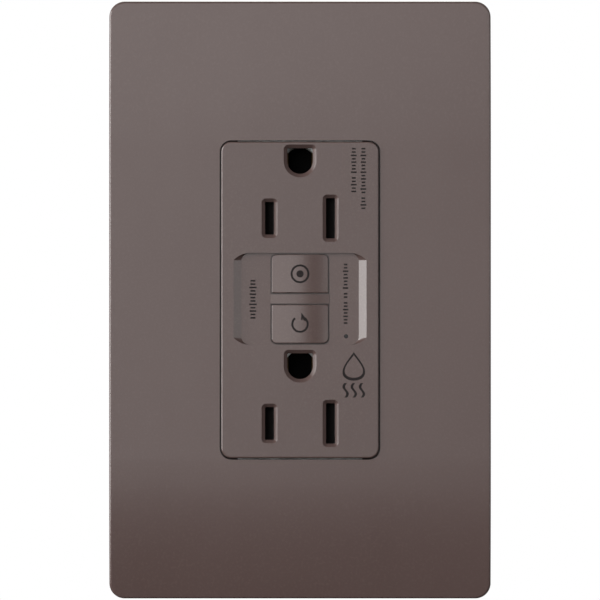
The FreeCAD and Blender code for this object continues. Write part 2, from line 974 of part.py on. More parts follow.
def face_cover():
    body = new_body("face_cover")
    face_shell(body)
    face_recess(body)
    face_openings(body)
    bridge_crown(body)
    face_chamfers(body)
    return body


def button(name, end, flange_front):
    """A cap with a crowned front, and the flange behind it that keeps it in the cover."""
    centre = d.recess_centre + end * d.button_pitch / 2
    flange_back = flange_front + d.button_flange_thickness
    outer = centre + end * d.button_height / 2
    body = new_body(name)
    pad(body, "level", around(centre, d.button_height), [crown_section(flange_back, ZERO)])
    round_edges(
        body,
        d.button_corner,
        lambda b: b.XLength < TINY and b.YLength > 1 and lies_at(b.ZMin, b.ZMax, outer),
    )
    round_edges(body, d.button_edge_round, lambda b: b.YMax < number(button_rim) + 1e-3)
    flange = rectangle(
        both_ways(d.button_width / 2 + d.button_flange), around(centre, d.button_height + 2 * d.button_flange)
    )
    pad(body, "front", (flange_front, flange_back), [flange])
    return body


def test_button():
    body = button("test_button", 1, test_flange_front)
    stem = rectangle(both_ways(d.test_stem_width / 2), around(test_height, d.test_stem_width))
    pad(body, "front", (test_flange_front + d.button_flange_thickness, test_stem_end), [stem])
    return body


def reset_button():
    body = button("reset_button", -1, reset_flange_front)
    flange_back = reset_flange_front + d.button_flange_thickness
    socket = circle(ZERO, reset_height, d.reset_pin_radius + d.thread_gap)
    pocket(body, "front", (flange_back - d.reset_pin_grip, flange_back), [socket])
    return body


def reset_pin():
    """The steel pin in the reset button, with the neck that the latch plate catches."""
    centre = (ZERO, reset_height)
    front = reset_flange_front + d.button_flange_thickness - d.reset_pin_grip
    neck = latch_front - d.latch_gap / 2
    neck_end = latch_front + d.latch_metal + d.latch_gap / 2
    return fuse(
        "reset_pin",
        [
            rod("reset_pin_shaft", "y", centre, (front, neck), d.reset_pin_radius),
            rod("reset_pin_neck", "y", centre, (neck, neck_end), d.reset_pin_neck),
            cone(
                "reset_pin_nose", "y", centre, (neck_end, reset_pin_end), d.reset_pin_radius, d.reset_pin_neck
            ),
        ],
    )


def reset_spring():
    span = (reset_flange_front + d.button_flange_thickness, strap_front + 0)
    centre = (ZERO, reset_height)
    return coil(
        "reset_spring", "y", centre, span, d.reset_spring_radius, d.reset_spring_wire, d.reset_spring_turns
    )


def light_pipe():
    centre = (d.lamp_offset + 0, d.lamp_height + 0)
    shoulder = face_inside + d.button_play
    return fuse(
        "light_pipe",
        [
            rod("light_pipe_tip", "y", centre, (recess_floor, shoulder), d.lamp_tip_radius - d.lamp_fit),
            rod("light_pipe_stem", "y", centre, (shoulder, led_front - d.button_play), d.lamp_pipe_radius),
        ],
    )


# ---------------------------------------------------------------- strap and its screws


def strap_outline():
    half_width = d.strap_width / 2
    half_length = d.strap_length / 2
    half_band = d.strap_band_width / 2
    corner = d.strap_corner
    notch = d.ear_notch
    path = []
    for side in (1, -1):
        for offset in (-side * d.ear_notch_offset, side * d.ear_notch_offset):
            path.append((offset - side * notch, -side * half_length))
            path.append((offset + 0, side * (notch - half_length)))
            path.append((offset + side * notch, -side * half_length))
        path.append((side * (half_width - corner), -side * half_length, corner))
        path.append((side * half_width, side * (corner - half_length)))
        path.append((side * half_width, -side * d.ear_start))
        path.append((side * half_band, -side * d.ear_start))
        path.append((side * half_band, side * d.ear_start))
        path.append((side * half_width, side * d.ear_start))
        path.append((side * half_width, side * (half_length - corner), corner))
        path.append((side * (half_width - corner), side * half_length))
    return path


def strap_holes():
    holes = []
    for end in (-1, 1):
        slot_z = around(end * d.box_screw_spacing / 2, d.box_slot_height)
        holes.append(rounded(both_ways(d.box_slot_length / 2), slot_z, d.box_slot_corner))
        holes.append(circle(ZERO, end * d.plate_screw_spacing / 2, d.plate_thread_radius + d.thread_gap))
    for height in blade_heights.values():
        for side in (-1, 1):
            window_x = mirrored(side, (d.partition_offset, d.partition_offset + d.strap_window_width))
            holes.append(rectangle(window_x, around(height, d.strap_window_height)))
    for centre in ground_heights.values():
        holes.append(circle(ZERO, centre, d.ground_radius + d.ground_clearance))
    stem_room = d.test_stem_width + 4 * d.lamp_clearance
    holes.append(rectangle(both_ways(stem_room / 2), around(test_height, stem_room)))
    holes.append(circle(ZERO, reset_height, d.reset_pin_radius + d.reset_pin_play))
    holes.append(circle(d.lamp_offset, d.lamp_height, d.lamp_pipe_radius + d.lamp_clearance))
    return holes


def strap():
    """The steel strap with its ears, and the tab bent back at the bottom for the grounding screw."""
    body = new_body("strap")
    pad(body, "front", (strap_front, ZERO), [strap_outline()] + strap_holes())
    tab_x = (-d.ground_tab_offset - d.strap_thickness, -d.ground_tab_offset)
    tab = rectangle((strap_front, d.ground_tab_depth), around(d.ground_tab_centre, d.ground_tab_height))
    pad(body, "side", tab_x, [tab])
    tapped = circle(d.ground_screw_depth, d.ground_tab_centre, d.ground_screw_radius + d.thread_gap)
    pocket(body, "side", tab_x, [tapped])
    return body


def ground_screw():
    """The hexagonal grounding screw, entering its tab from -X."""
    centre = (d.ground_screw_depth, d.ground_tab_centre)
    seat = -d.ground_tab_offset - d.strap_thickness
    head = document.addObject("Part::Prism", "ground_screw_head")
    head.Polygon = HEXAGON_SIDES
    bind(head, "Circumradius", d.ground_head_width / root(ZERO + 3))
    bind(head, "Height", d.ground_head_height)
    head.Placement.Rotation = TURNS["x"]
    move_to(head, (seat - d.ground_head_height, *centre))
    shank_x = (seat, seat + d.ground_screw_length)
    shank = rod("ground_screw_shank", "x", centre, shank_x, d.ground_screw_radius)
    slot_x = around(seat - d.ground_head_height, 2 * d.screw_slot_depth)
    slot = box(
        "ground_screw_slot",
        slot_x,
        around(d.ground_screw_depth, d.screw_slot_width),
        around(d.ground_tab_centre, 2 * d.ground_head_width),
    )
    return cut("ground_screw", fuse("ground_screw_solid", [head, shank]), [slot])


def box_screw(end):
    centre = (ZERO, end * d.box_screw_spacing / 2)
    seat = strap_front - d.retainer_thickness
    name = f"box_screw_{end + 2}"
    head = (seat - d.box_head_height, seat)
    screw = slotted_screw(name, "y", centre, head, (seat, ZERO), d.box_head_radius, d.neck_radius, True)
    thread = rod(f"{name}_thread", "y", centre, (ZERO, d.box_thread_length), d.box_thread_radius)
    return fuse(f"{name}_whole", [screw, thread])


def box_screws():
    return group("box_screws", [box_screw(end) for end in (-1, 1)])


def screw_retainers():
    washers = []
    for end in (-1, 1):
        centre = (ZERO, end * d.box_screw_spacing / 2)
        span = (strap_front - d.retainer_thickness, strap_front + 0)
        disc = rod(f"retainer_disc_{end + 2}", "y", centre, span, d.retainer_radius)
        hole = rod(f"retainer_hole_{end + 2}", "y", centre, span, d.neck_radius + d.thread_gap)
        washers.append(cut(f"retainer_{end + 2}", disc, [hole]))
    return group("screw_retainers", washers)


# ---------------------------------------------------------------- contacts


def ground_contact(name, centre):
    """A fork riveted behind the strap, with a leaf on each side of the ground pin."""
    body = new_body(name)
    half_leaf = d.ground_leaf_height / 2
    base = rectangle(both_ways(d.ground_base_width / 2), (centre - d.ground_base_drop, centre + half_leaf))
    pad(body, "front", (ZERO, d.contact_metal), [base])
    hole = circle(ZERO, centre, d.ground_radius + d.ground_clearance)
    pocket(body, "front", (ZERO, d.contact_metal), [hole])
    for side in (-1, 1):
        leaf_x = mirrored(side, (d.ground_leaf_half_gap, d.ground_leaf_half_gap + d.contact_metal))
        leaf = rectangle((ZERO, d.ground_leaf_end), around(centre, d.ground_leaf_height))
        pad(body, "side", leaf_x, [leaf])
    return body


def contact_section(side):
    """The blade contact seen from above: a trough with two flared leaves."""
    inner = blade_x - d.contact_half_gap
    outer = blade_x + d.contact_half_gap
    metal = d.contact_metal
    flare = d.contact_flare
    front = d.contact_start
    bottom = d.contact_start + d.contact_depth
    points = [
        (outer + metal, bottom),
        (inner - metal, bottom),
        (inner - metal, front + flare),
        (inner - metal - flare, front),
        (inner - flare, front),
        (inner + 0, front + flare),
        (inner + 0, bottom - metal),
        (outer + 0, bottom - metal),
        (outer + 0, front + flare),
        (outer + flare, front),
        (outer + flare + metal, front),
        (outer + metal, front + flare),
    ]
    return [(side * x, y) for x, y in points]


def terminal_plate(body, side, z, back):
    """The screw terminal's plate, standing along the side of the device, with its clearance hole."""
    x = mirrored(side, (terminal_inner, terminal_outer))
    pad(body, "side", x, [rectangle((contact_front, back), z)])


def terminal_hole(body, side, end):
    x = mirrored(side, (terminal_inner, terminal_outer))
    hole = circle(d.terminal_depth, end * d.terminal_height, d.terminal_screw_radius + d.terminal_hole_gap)
    pocket(body, "side", x, [hole])


def bus(name, side):
    """The strip that joins the two blade contacts, the load terminal and the fixed switching contact."""
    body = new_body(name)
    outer = blade_x + d.contact_half_gap
    bar_x = mirrored(side, (outer, outer + d.contact_metal))
    bottom = d.contact_start + d.contact_depth
    tab_z = around(d.terminal_height, d.terminal_plate_height)
    bar_z = (lower_blade_height - d.contact_height / 2, tab_z[1])
    pad(body, "side", bar_x, [rectangle((contact_front, bottom), bar_z)])
    for height in blade_heights.values():
        pad(body, "level", around(height, d.contact_height), [contact_section(side)])
    tab_y = (contact_front, contact_front + d.terminal_metal)
    pad(body, "front", tab_y, [rectangle(mirrored(side, (outer, terminal_outer)), tab_z)])
    terminal_plate(body, side, tab_z, d.terminal_plate_end)
    terminal_hole(body, side, 1)
    foot_z = around(d.tip_height, d.arm_width)
    pad(body, "side", bar_x, [rectangle((bottom - d.contact_metal, foot_back), foot_z)])
    foot_x = mirrored(side, (outer, outer + d.foot_width))
    pad(body, "front", (foot_front, foot_back), [rectangle(foot_x, foot_z)])
    return body


def fixed_tips():
    span = (foot_back, tip_seam - d.tip_gap / 2)
    return group(
        "fixed_tips",
        [
            rod(f"fixed_tip_{side + 2}", "y", (side * d.arm_offset, d.tip_height), span, d.tip_radius)
            for side in (-1, 1)
        ],
    )


def moving_tip(name, side):
    span = (tip_seam + d.tip_gap / 2, arm_front)
    return rod(name, "y", (side * d.arm_offset, d.tip_height), span, d.tip_radius)


def contact_arm(name, side):
    """The springy strip that carries a moving contact and bends about its upper end."""
    body = new_body(name)
    z = (d.arm_end, d.arm_pivot_height)
    pad(body, "front", (arm_front, arm_back), [rectangle(around(side * d.arm_offset, d.arm_width), z)])
    return body


def line_jumper(name, side):
    """The line conductor: a rod through the sensing coils and a strip across to the arm's foot."""
    body = new_body(name)
    outer = d.arm_offset + d.arm_width / 2
    inner = d.arm_offset - d.arm_width / 2
    start = d.conductor_offset - d.conductor_radius
    half = d.jumper_width / 2
    foot = d.arm_pivot_height - d.jumper_foot
    points = [
        (start, d.coil_height - half),
        (inner, d.coil_height - half),
        (inner, foot),
        (outer, foot),
        (outer, d.coil_height + half),
        (start, d.coil_height + half),
    ]
    front = floor_back + d.jumper_front
    back = front + d.jumper_metal
    pad(body, "front", (front, back), [[(side * x, z) for x, z in points]])
    rod_spot = circle(side * d.conductor_offset, d.coil_height, d.conductor_radius)
    pad(body, "front", (back, board_front), [rod_spot])
    foot_z = (foot, d.arm_pivot_height)
    foot_x = mirrored(side, (inner, outer))
    pad(body, "front", (back, arm_front - d.tip_gap), [rectangle(foot_x, foot_z)])
    return body


def line_terminal(name, side):
    """A line terminal plate with the tail that is soldered to the circuit board."""
    body = new_body(name)
    plate_z = around(-d.terminal_height, d.terminal_plate_height)
    terminal_plate(body, side, plate_z, d.terminal_plate_end)
    tail_z = (plate_z[1] - TINY, plate_z[1] + d.line_tail_width)
    terminal_plate(body, side, tail_z, board_front)
    terminal_hole(body, side, -1)
    return body


def terminal_screw(name, side, end):
    centre = (d.terminal_depth, end * d.terminal_height)
    head = mirrored(side, (terminal_outer, terminal_outer + d.terminal_head_height))
    shank = mirrored(side, (terminal_outer - d.terminal_screw_length, terminal_outer))
    return slotted_screw(
        name, "x", centre, head, shank, d.terminal_head_radius, d.terminal_screw_radius, side < 0
    )


def clamp_plate(name, side, end):
    body = new_body(name)
    x = mirrored(side, (clamp_inner, clamp_outer))
    y = around(d.terminal_depth, d.clamp_length)
    outline = rectangle(y, around(end * d.terminal_height, d.clamp_height))
    tapped = circle(d.terminal_depth, end * d.terminal_height, d.terminal_screw_radius + d.thread_gap)
    pad(body, "side", x, [outline, tapped])
    return body


# ---------------------------------------------------------------- shutters


def shutter(name, height):
    """The sliding plate that blocks both blade slots at rest; its ramps turn a push into a slide to +X."""
    body = new_body(name)
    half_window = d.shutter_window_width / 2
    low = -blade_x - d.shutter_travel - half_window - d.tray_floor
    high = blade_x + d.shutter_end
    outline = rectangle((low, high), around(height, 2 * d.shutter_half_height))
    pad(body, "front", (shutter_front, shutter_back), [outline])
    window_z = around(height, 2 * d.shutter_window_half_height)
    for side in (-1, 1):
        edge = side * blade_x - d.shutter_travel + half_window
        window = rectangle((edge - d.shutter_window_width, edge), window_z)
        pocket(body, "front", (shutter_front, shutter_back), [window])
        ramp_top = side * blade_x + d.slot_width / 2
        ramp_bottom = (shutter_front + shutter_back) / 2
        ramp = [(edge, shutter_front), (ramp_top, shutter_front), (edge, ramp_bottom)]
        pocket(body, "level", window_z, [ramp])
    return body


def shutter_tray(name, height):
    body = new_body(name)
    outer = rectangle(both_ways(d.tray_half_width), around(height, 2 * d.tray_half_height))
    pad(body, "front", (tray_front, tray_back), [outer])
    inner = rectangle(
        both_ways(d.tray_half_width - d.tray_side), around(height, 2 * (d.tray_half_height - d.tray_end))
    )
    pocket(body, "front", (tray_front, tray_back - d.tray_floor), [inner])
    for side in (-1, 1):
        window = rectangle(
            around(side * blade_x, d.shutter_window_width), around(height, 2 * d.shutter_window_half_height)
        )
        pocket(body, "front", (tray_back - d.tray_floor, tray_back), [window])
    return body


def shutter_spring(name, height):
    span = (blade_x + d.shutter_end, d.tray_half_width - d.tray_side)
    depth = (shutter_front + shutter_back) / 2
    centre = (depth, height)
    return coil(
        name, "x", centre, span, d.shutter_spring_radius, d.shutter_spring_wire, d.shutter_spring_turns
    )


# ---------------------------------------------------------------- middle frame and rear housing


def middle_frame():
    """The insulating tray between the strap and the mechanism, with channels for the contacts."""
    body = new_body("middle_frame")
    outline = rectangle(both_ways(d.cell_half_width), both_ways(cell_half_height))
    pad(body, "front", (ZERO, floor_back), [outline])
    inner_end = cell_half_height - d.cell_wall
    for side in (-1, 1):
        channel_x = mirrored(side, (d.partition_offset + d.partition_width, d.cell_half_width - d.cell_wall))
        pocket(body, "front", (ZERO, d.cell_depth), [rectangle(channel_x, both_ways(inner_end))])
    centre_channel = rectangle(both_ways(d.partition_offset), (-inner_end, cell_half_height))
    pocket(body, "front", (ZERO, d.cell_depth), [centre_channel])
    for side in (-1, 1):
        flange_x = mirrored(side, (d.cell_half_width, housing_inner_half_width - d.flange_gap))
        flange_y = (d.shoulder_thickness, d.shoulder_thickness + d.flange_thickness)
        pad(body, "front", flange_y, [rectangle(flange_x, both_ways(d.flange_half_length))])
        rail_x = mirrored(
            side, (d.block_half_width + d.rail_gap, d.block_half_width + d.rail_gap + d.cell_wall)
        )
        rail_z = (reset_height - d.block_height / 2 + d.cell_wall, d.arm_end - d.cell_wall)
        pad(body, "front", (floor_back, latch_front + d.cell_wall), [rectangle(rail_x, rail_z)])
    for end in (-1, 1):
        edge = mirrored(end, (cell_half_height, housing_half_height))
        pad(body, "front", (ZERO, d.shoulder_thickness), [rectangle(both_ways(d.cell_half_width), edge)])
    middle_frame_holes(body)
    return body


def middle_frame_holes(body):
    """Ways through the floor and the side walls for what crosses them."""
    floor = (d.cell_depth, floor_back)
    room = d.flange_gap
    for centre in ground_heights.values():
        pocket(body, "front", floor, [circle(ZERO, centre, d.ground_radius + d.ground_clearance)])
    pocket(body, "front", floor, [circle(ZERO, reset_height, d.reset_pin_radius + d.reset_pin_play)])
    pipe_room = d.lamp_pipe_radius + d.lamp_clearance
    pocket(body, "front", floor, [circle(d.lamp_offset, d.lamp_height, pipe_room)])
    leg_z = (d.test_leaf_end - room, d.test_leaf_end + d.test_leaf_metal + room)
    pocket(body, "front", floor, [rectangle(both_ways(d.test_leaf_width / 2 + room), leg_z)])
    outer = blade_x + d.contact_half_gap
    for side in (-1, 1):
        tail_x = mirrored(side, (outer - room, outer + d.contact_metal + room))
        tail_z = around(d.tip_height, d.arm_width + 2 * room)
        pocket(body, "front", floor, [rectangle(tail_x, tail_z)])
        wall_x = mirrored(side, (d.cell_half_width - d.cell_wall, d.cell_half_width))
        tab_y = (contact_front - room, contact_front + d.terminal_metal + room)
        tab_z = around(d.terminal_height, d.terminal_plate_height + 2 * room)
        pocket(body, "side", wall_x, [rectangle(tab_y, tab_z)])


def rear_housing():
    body = new_body("rear_housing")
    outline = rounded(both_ways(housing_half_width), both_ways(housing_half_height), d.housing_wall)
    pad(body, "front", (d.shoulder_thickness, rear_outside), [outline])
    hollow = rectangle(both_ways(housing_inner_half_width), both_ways(housing_inner_half_height))
    pocket(body, "front", (d.shoulder_thickness, rear_inside), [hollow])
    for side in (-1, 1):
        rib_x = mirrored(side, (housing_inner_half_width - d.rib_width, housing_inner_half_width))
        rib_y = (d.shoulder_thickness + d.flange_thickness, rear_inside)
        pad(body, "front", rib_y, [rectangle(rib_x, both_ways(d.rib_length / 2))])
        for end in (-1, 1):
            post = circle(side * boss_x, end * boss_z, d.boss_radius)
            pad(body, "front", (boss_back + d.button_play, rear_inside), [post])
            rest = rectangle(
                around(side * d.board_rest_x, d.board_rest), around(end * d.board_rest_z, d.board_rest)
            )
            pad(body, "front", (board_back, rear_inside), [rest])
    housing_openings(body)
    return body


def housing_openings(body):
    """Screw bores, the side windows of the terminals and the wire slots in the rear wall."""
    window_y = (contact_front - d.window_margin, d.window_end)
    window_height = d.terminal_plate_height + 2 * d.window_margin
    slot_centre = terminal_inner - d.wire_slot_width / 2
    for side in (-1, 1):
        wall_x = mirrored(side, (housing_inner_half_width, housing_half_width))
        for end in (-1, 1):
            window = rectangle(window_y, around(end * d.terminal_height, window_height))
            pocket(body, "side", wall_x, [window])
            slot_z = around(end * d.terminal_height, d.wire_slot_height)
            slot = rectangle(around(side * slot_centre, d.wire_slot_width), slot_z)
            pocket(body, "front", (rear_inside, rear_outside), [slot])
            bore = circle(side * boss_x, end * boss_z, d.housing_screw_radius + d.housing_screw_fit)
            pocket(body, "front", (boss_back, rear_outside), [bore])
            sink = circle(side * boss_x, end * boss_z, d.housing_head_radius + d.housing_screw_fit)
            pocket(body, "front", (housing_head_seat, rear_outside), [sink])


def housing_screws():
    screws = []
    for side in (-1, 1):
        for end in (-1, 1):
            screws.append(
                slotted_screw(
                    f"housing_screw_{side + 2}{end + 2}",
                    "y",
                    (side * boss_x, end * boss_z),
                    (housing_head_seat, housing_head_seat + d.housing_head_height),
                    (d.shoulder_thickness + d.cell_wall, housing_head_seat),
                    d.housing_head_radius,
                    d.housing_screw_radius,
                    False,
                )
            )
    return group("housing_screws", screws)


# ---------------------------------------------------------------- circuit board and mechanism


def circuit_board():
    body = new_body("circuit_board")
    end = housing_inner_half_height - d.board_end_gap
    points = [
        (-d.board_half_width, -end),
        (d.board_half_width, -end),
        (d.board_half_width, d.wing_bottom),
        (d.wing_half_width, d.wing_bottom),
        (d.wing_half_width, d.wing_top),
        (d.board_half_width, d.wing_top),
        (d.board_half_width, end),
        (-d.board_half_width, end),
        (-d.board_half_width, d.wing_top),
        (-d.wing_half_width, d.wing_top),
        (-d.wing_half_width, d.wing_bottom),
        (-d.board_half_width, d.wing_bottom),
    ]
    pad(body, "front", (board_front, board_back), [points])
    return body


def ring(name, axis, centre, span, inner, outer):
    return cut(
        name,
        rod(f"{name}_outside", axis, centre, span, outer),
        [rod(f"{name}_inside", axis, centre, span, inner)],
    )


def coil_centre():
    return ZERO, d.coil_height


def sensing_ring(name, front):
    inner = d.coil_tube_radius + d.coil_tube_wall + d.coil_ring_gap
    outer = d.coil_case_radius - d.coil_case_wall - d.coil_ring_gap
    return ring(name, "y", coil_centre(), (front, front + d.coil_ring_depth), inner, outer)


def coil_case():
    """A cup round both sensing coils, with the tube that the line conductors pass through."""
    front = floor_back + d.coil_case_front
    back = board_front - d.coil_ring_gap
    body = new_body("coil_case")
    outer = circle(ZERO, d.coil_height, d.coil_case_radius)
    bore = circle(ZERO, d.coil_height, d.coil_tube_radius)
    pad(body, "front", (front, back), [outer, bore])
    trough = [
        circle(ZERO, d.coil_height, d.coil_case_radius - d.coil_case_wall),
        circle(ZERO, d.coil_height, d.coil_tube_radius + d.coil_tube_wall),
    ]
    pocket(body, "front", (front, back - d.coil_case_wall), trough)
    return body


def bobbin():
    centre = (ZERO, solenoid_depth)
    low = solenoid_end + d.solenoid_metal
    high = d.solenoid_start - d.solenoid_metal
    spool = fuse(
        "bobbin_spool",
        [
            rod("bobbin_tube", "z", centre, (low, high), d.bobbin_bore + d.bobbin_tube),
            rod("bobbin_low_flange", "z", centre, (low, low + d.bobbin_flange), d.bobbin_radius),
            rod("bobbin_high_flange", "z", centre, (high - d.bobbin_flange, high), d.bobbin_radius),
        ],
    )
    return cut("bobbin", spool, [rod("bobbin_hole", "z", centre, (low, high), d.bobbin_bore)])


def winding():
    low = solenoid_end + d.solenoid_metal + d.bobbin_flange
    high = d.solenoid_start - d.solenoid_metal - d.bobbin_flange
    return ring(
        "winding", "z", (ZERO, solenoid_depth), (low, high), d.bobbin_bore + d.bobbin_tube, d.winding_radius
    )


def solenoid_frame():
    """The U-shaped iron that closes the solenoid's magnetic path."""
    body = new_body("solenoid_frame")
    back = board_front - d.latch_gap / 2
    x = both_ways(d.solenoid_half_width)
    section = [
        (back - d.solenoid_metal, solenoid_end),
        (back, solenoid_end),
        (back, d.solenoid_start),
        (back - d.solenoid_metal, d.solenoid_start),
    ]
    pad(body, "side", x, [section])
    front = solenoid_depth - d.bobbin_radius
    for low in (solenoid_end, d.solenoid_start - d.solenoid_metal):
        pad(body, "level", (low, low + d.solenoid_metal), [rectangle(x, (front, back))])
    bore = circle(ZERO, solenoid_depth, d.bobbin_bore)
    pocket(body, "level", (solenoid_end, d.solenoid_start), [bore])
    return body


def plunger():
    """The iron core: a collar at its tail for the return spring and a thin nose towards the latch plate."""
    centre = (ZERO, solenoid_depth)
    tail = solenoid_end - d.plunger_tail
    nose = reset_height - d.latch_reach - d.tip_gap
    return fuse(
        "plunger",
        [
            rod("plunger_core", "z", centre, (tail, d.solenoid_start), d.plunger_radius),
            rod("plunger_nose", "z", centre, (d.solenoid_start, nose), d.plunger_nose),
            rod("plunger_collar", "z", centre, (tail, tail + d.plunger_collar_length), d.plunger_collar),
        ],
    )


def plunger_spring():
    tail = solenoid_end - d.plunger_tail + d.plunger_collar_length
    radius = (d.plunger_radius + d.plunger_collar) / 2
    centre = (ZERO, solenoid_depth)
    span = (tail, solenoid_end)
    return coil("plunger_spring", "z", centre, span, radius, d.plunger_spring_wire, d.plunger_spring_turns)


def latch_plate():
    """The steel slide that catches the reset pin's neck, with the tab that the plunger strikes."""
    body = new_body("latch_plate")
    back = latch_front + d.latch_metal
    low = reset_height - d.latch_reach
    high = reset_height + d.latch_half_width
    pad(body, "front", (latch_front, back), [rectangle(both_ways(d.latch_half_width), (low, high))])
    room = d.reset_pin_radius + d.reset_pin_play
    window = rectangle(both_ways(room), (reset_height - room - d.latch_travel, reset_height + room))
    pocket(body, "front", (latch_front, back), [window])
    tab_y = (solenoid_depth - d.plunger_nose, back)
    tab_z = (low, low + d.latch_metal)
    pad(body, "level", tab_z, [rectangle(both_ways(d.latch_half_width - d.latch_metal), tab_y)])
    return body


def latch_block():
    """The plastic lifter on the reset pin, whose wings carry the two contact arms."""
    body = new_body("latch_block")
    front = floor_back + d.block_front
    back = front + d.block_depth
    block_z = around(reset_height, d.block_height)
    pad(body, "front", (front, back), [rectangle(both_ways(d.block_half_width), block_z)])
    wing_front = arm_back + d.wing_play
    wing_z = (d.arm_end + d.wing_play, block_z[1])
    wing = rectangle(both_ways(d.wing_reach), wing_z)
    pad(body, "front", (wing_front, wing_front + d.wing_thickness), [wing])
    bore = circle(ZERO, reset_height, d.reset_pin_radius + d.reset_pin_play)
    pocket(body, "front", (wing_front, back), [bore])
    return body


def test_contact():
    """The springy strip that the test button bends, with its leg down to the circuit board."""
    body = new_body("test_contact")
    front = test_stem_end + d.test_leaf_gap
    x = both_ways(d.test_leaf_width / 2)
    section = [
        (front, test_height - d.test_stem_width / 2),
        (front + d.test_leaf_metal, test_height - d.test_stem_width / 2),
        (front + d.test_leaf_metal, d.test_leaf_end),
        (board_front, d.test_leaf_end),
        (board_front, d.test_leaf_end + d.test_leaf_metal),
        (front, d.test_leaf_end + d.test_leaf_metal),
    ]
    pad(body, "side", x, [section])
    return body


def led():
    return rod("led", "y", (d.lamp_offset + 0, d.lamp_height + 0), (led_front, board_front), d.led_radius)


def varistor():
    """A disc standing on the board on two leads."""
    depth = board_front - d.varistor_radius - d.varistor_lift
    disc = rod(
        "varistor_disc",
        "x",
        (depth, d.varistor_height),
        (d.varistor_x, d.varistor_x + d.varistor_thickness),
        d.varistor_radius,
    )
    middle = d.varistor_x + d.varistor_thickness / 2
    leads = [
        rod(
            f"varistor_lead_{end + 2}",
            "y",
            (middle, d.varistor_height + end * d.varistor_radius / 2),
            (depth, board_front),
            d.lead_radius,
        )
        for end in (-1, 1)
    ]
    return fuse("varistor", [disc] + leads)


def capacitors():
    film_x = (d.film_x, d.film_x + d.film_width)
    film_z = (d.film_z, d.film_z + d.film_length)
    film = box("film_capacitor", film_x, (board_front - d.film_depth, board_front), film_z)
    can = rod(
        "can_capacitor",
        "y",
        (d.can_x, d.can_z),
        (board_front - d.film_depth, board_front),
        d.can_radius,
    )
    return group("capacitors", [film, can])


def chip():
    """The control chip with a row of legs along each side."""
    body_x = around(d.chip_x, d.chip_width)
    body_z = around(d.chip_z, d.chip_length)
    top = board_front - d.chip_height
    lift = d.chip_height / 6
    parts = [box("chip_body", body_x, (top, board_front - lift), body_z)]
    for row in range(4):
        leg_centre = d.chip_z + (row - 1.5) * d.chip_leg_pitch
        leg_x = around(d.chip_x, d.chip_width + 4 * lift)
        leg_y = (board_front - 2 * lift, board_front)
        parts.append(box(f"chip_leg_{row}", leg_x, leg_y, around(leg_centre, d.chip_leg_width)))
    return fuse("chip", parts)


def resistors():
    items = []
    for side in (-1, 1):
        for row in range(2):
            x = side * (d.resistor_x + row * d.resistor_pitch)
            span = around(d.resistor_z + 0, d.resistor_length)
            centre = (x, board_front - d.resistor_radius)
            items.append(rod(f"resistor_{side + 2}_{row}", "z", centre, span, d.resistor_radius))
    return group("resistors", items)


# ---------------------------------------------------------------- the whole device


def build():
    pieces = {
        "wall_plate": wall_plate(),
        "plate_frame": plate_frame(),
        "plate_screws": plate_screws(),
        "face_cover": face_cover(),
        "test_button": test_button(),
        "reset_button": reset_button(),
        "reset_pin": reset_pin(),
        "reset_spring": reset_spring(),
        "light_pipe": light_pipe(),
        "strap": strap(),
        "box_screws": box_screws(),
        "screw_retainers": screw_retainers(),
        "ground_screw": ground_screw(),
        "hot_bus": bus("hot_bus", -1),
        "neutral_bus": bus("neutral_bus", 1),
        "fixed_tips": fixed_tips(),
        "hot_tip": moving_tip("hot_tip", -1),
        "neutral_tip": moving_tip("neutral_tip", 1),
        "hot_arm": contact_arm("hot_arm", -1),
        "neutral_arm": contact_arm("neutral_arm", 1),
        "hot_jumper": line_jumper("hot_jumper", -1),
        "neutral_jumper": line_jumper("neutral_jumper", 1),
        "line_hot_terminal": line_terminal("line_hot_terminal", -1),
        "line_neutral_terminal": line_terminal("line_neutral_terminal", 1),
        "middle_frame": middle_frame(),
        "rear_housing": rear_housing(),
        "housing_screws": housing_screws(),
        "circuit_board": circuit_board(),
        "sensor_coil": sensing_ring("sensor_coil", floor_back + d.coil_case_front + d.coil_ring_gap),
        "neutral_coil": sensing_ring(
            "neutral_coil", floor_back + d.coil_case_front + 2 * d.coil_ring_gap + d.coil_ring_depth
        ),
        "coil_case": coil_case(),
        "bobbin": bobbin(),
        "winding": winding(),
        "solenoid_frame": solenoid_frame(),
        "plunger": plunger(),
        "plunger_spring": plunger_spring(),
        "latch_plate": latch_plate(),
        "latch_block": latch_block(),
        "test_contact": test_contact(),
        "led": led(),
        "varistor": varistor(),
        "capacitors": capacitors(),
        "chip": chip(),
        "resistors": resistors(),
    }
    for name, height in blade_heights.items():
        pieces[f"{name}_shutter"] = shutter(f"{name}_shutter", height)
        pieces[f"{name}_shutter_tray"] = shutter_tray(f"{name}_shutter_tray", height)
        pieces[f"{name}_shutter_spring"] = shutter_spring(f"{name}_shutter_spring", height)
        pieces[f"{name}_ground_contact"] = ground_contact(f"{name}_ground_contact", ground_heights[name])
    for use, end in (("line", -1), ("load", 1)):
        for pole, side in (("hot", -1), ("neutral", 1)):
            name = f"{use}_{pole}"
            pieces[f"{name}_screw"] = terminal_screw(f"{name}_screw", side, end)
            pieces[f"{name}_clamp"] = clamp_plate(f"{name}_clamp", side, end)
    return pieces


def check(pieces):
    """Stops at any feature that failed and at any piece without a sound solid."""
    for item in document.Objects:
        if "Invalid" in item.State or "Error" in item.State:
            raise RuntimeError(f"{item.Label} failed: {item.State}")
    for name, piece in pieces.items():
        if piece.Shape.isNull() or not piece.Shape.isValid() or not piece.Shape.Solids:
            raise RuntimeError(f"{name} has no sound solid")


def write(pieces):
    os.makedirs("parts", exist_ok=True)
    for name, piece in pieces.items():
        piece.Label = name
        piece.Shape.exportStep(os.path.join("parts", f"{name}.step"))


pieces = build()
document.recompute()
check(pieces)
write(pieces)
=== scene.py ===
import json
import math

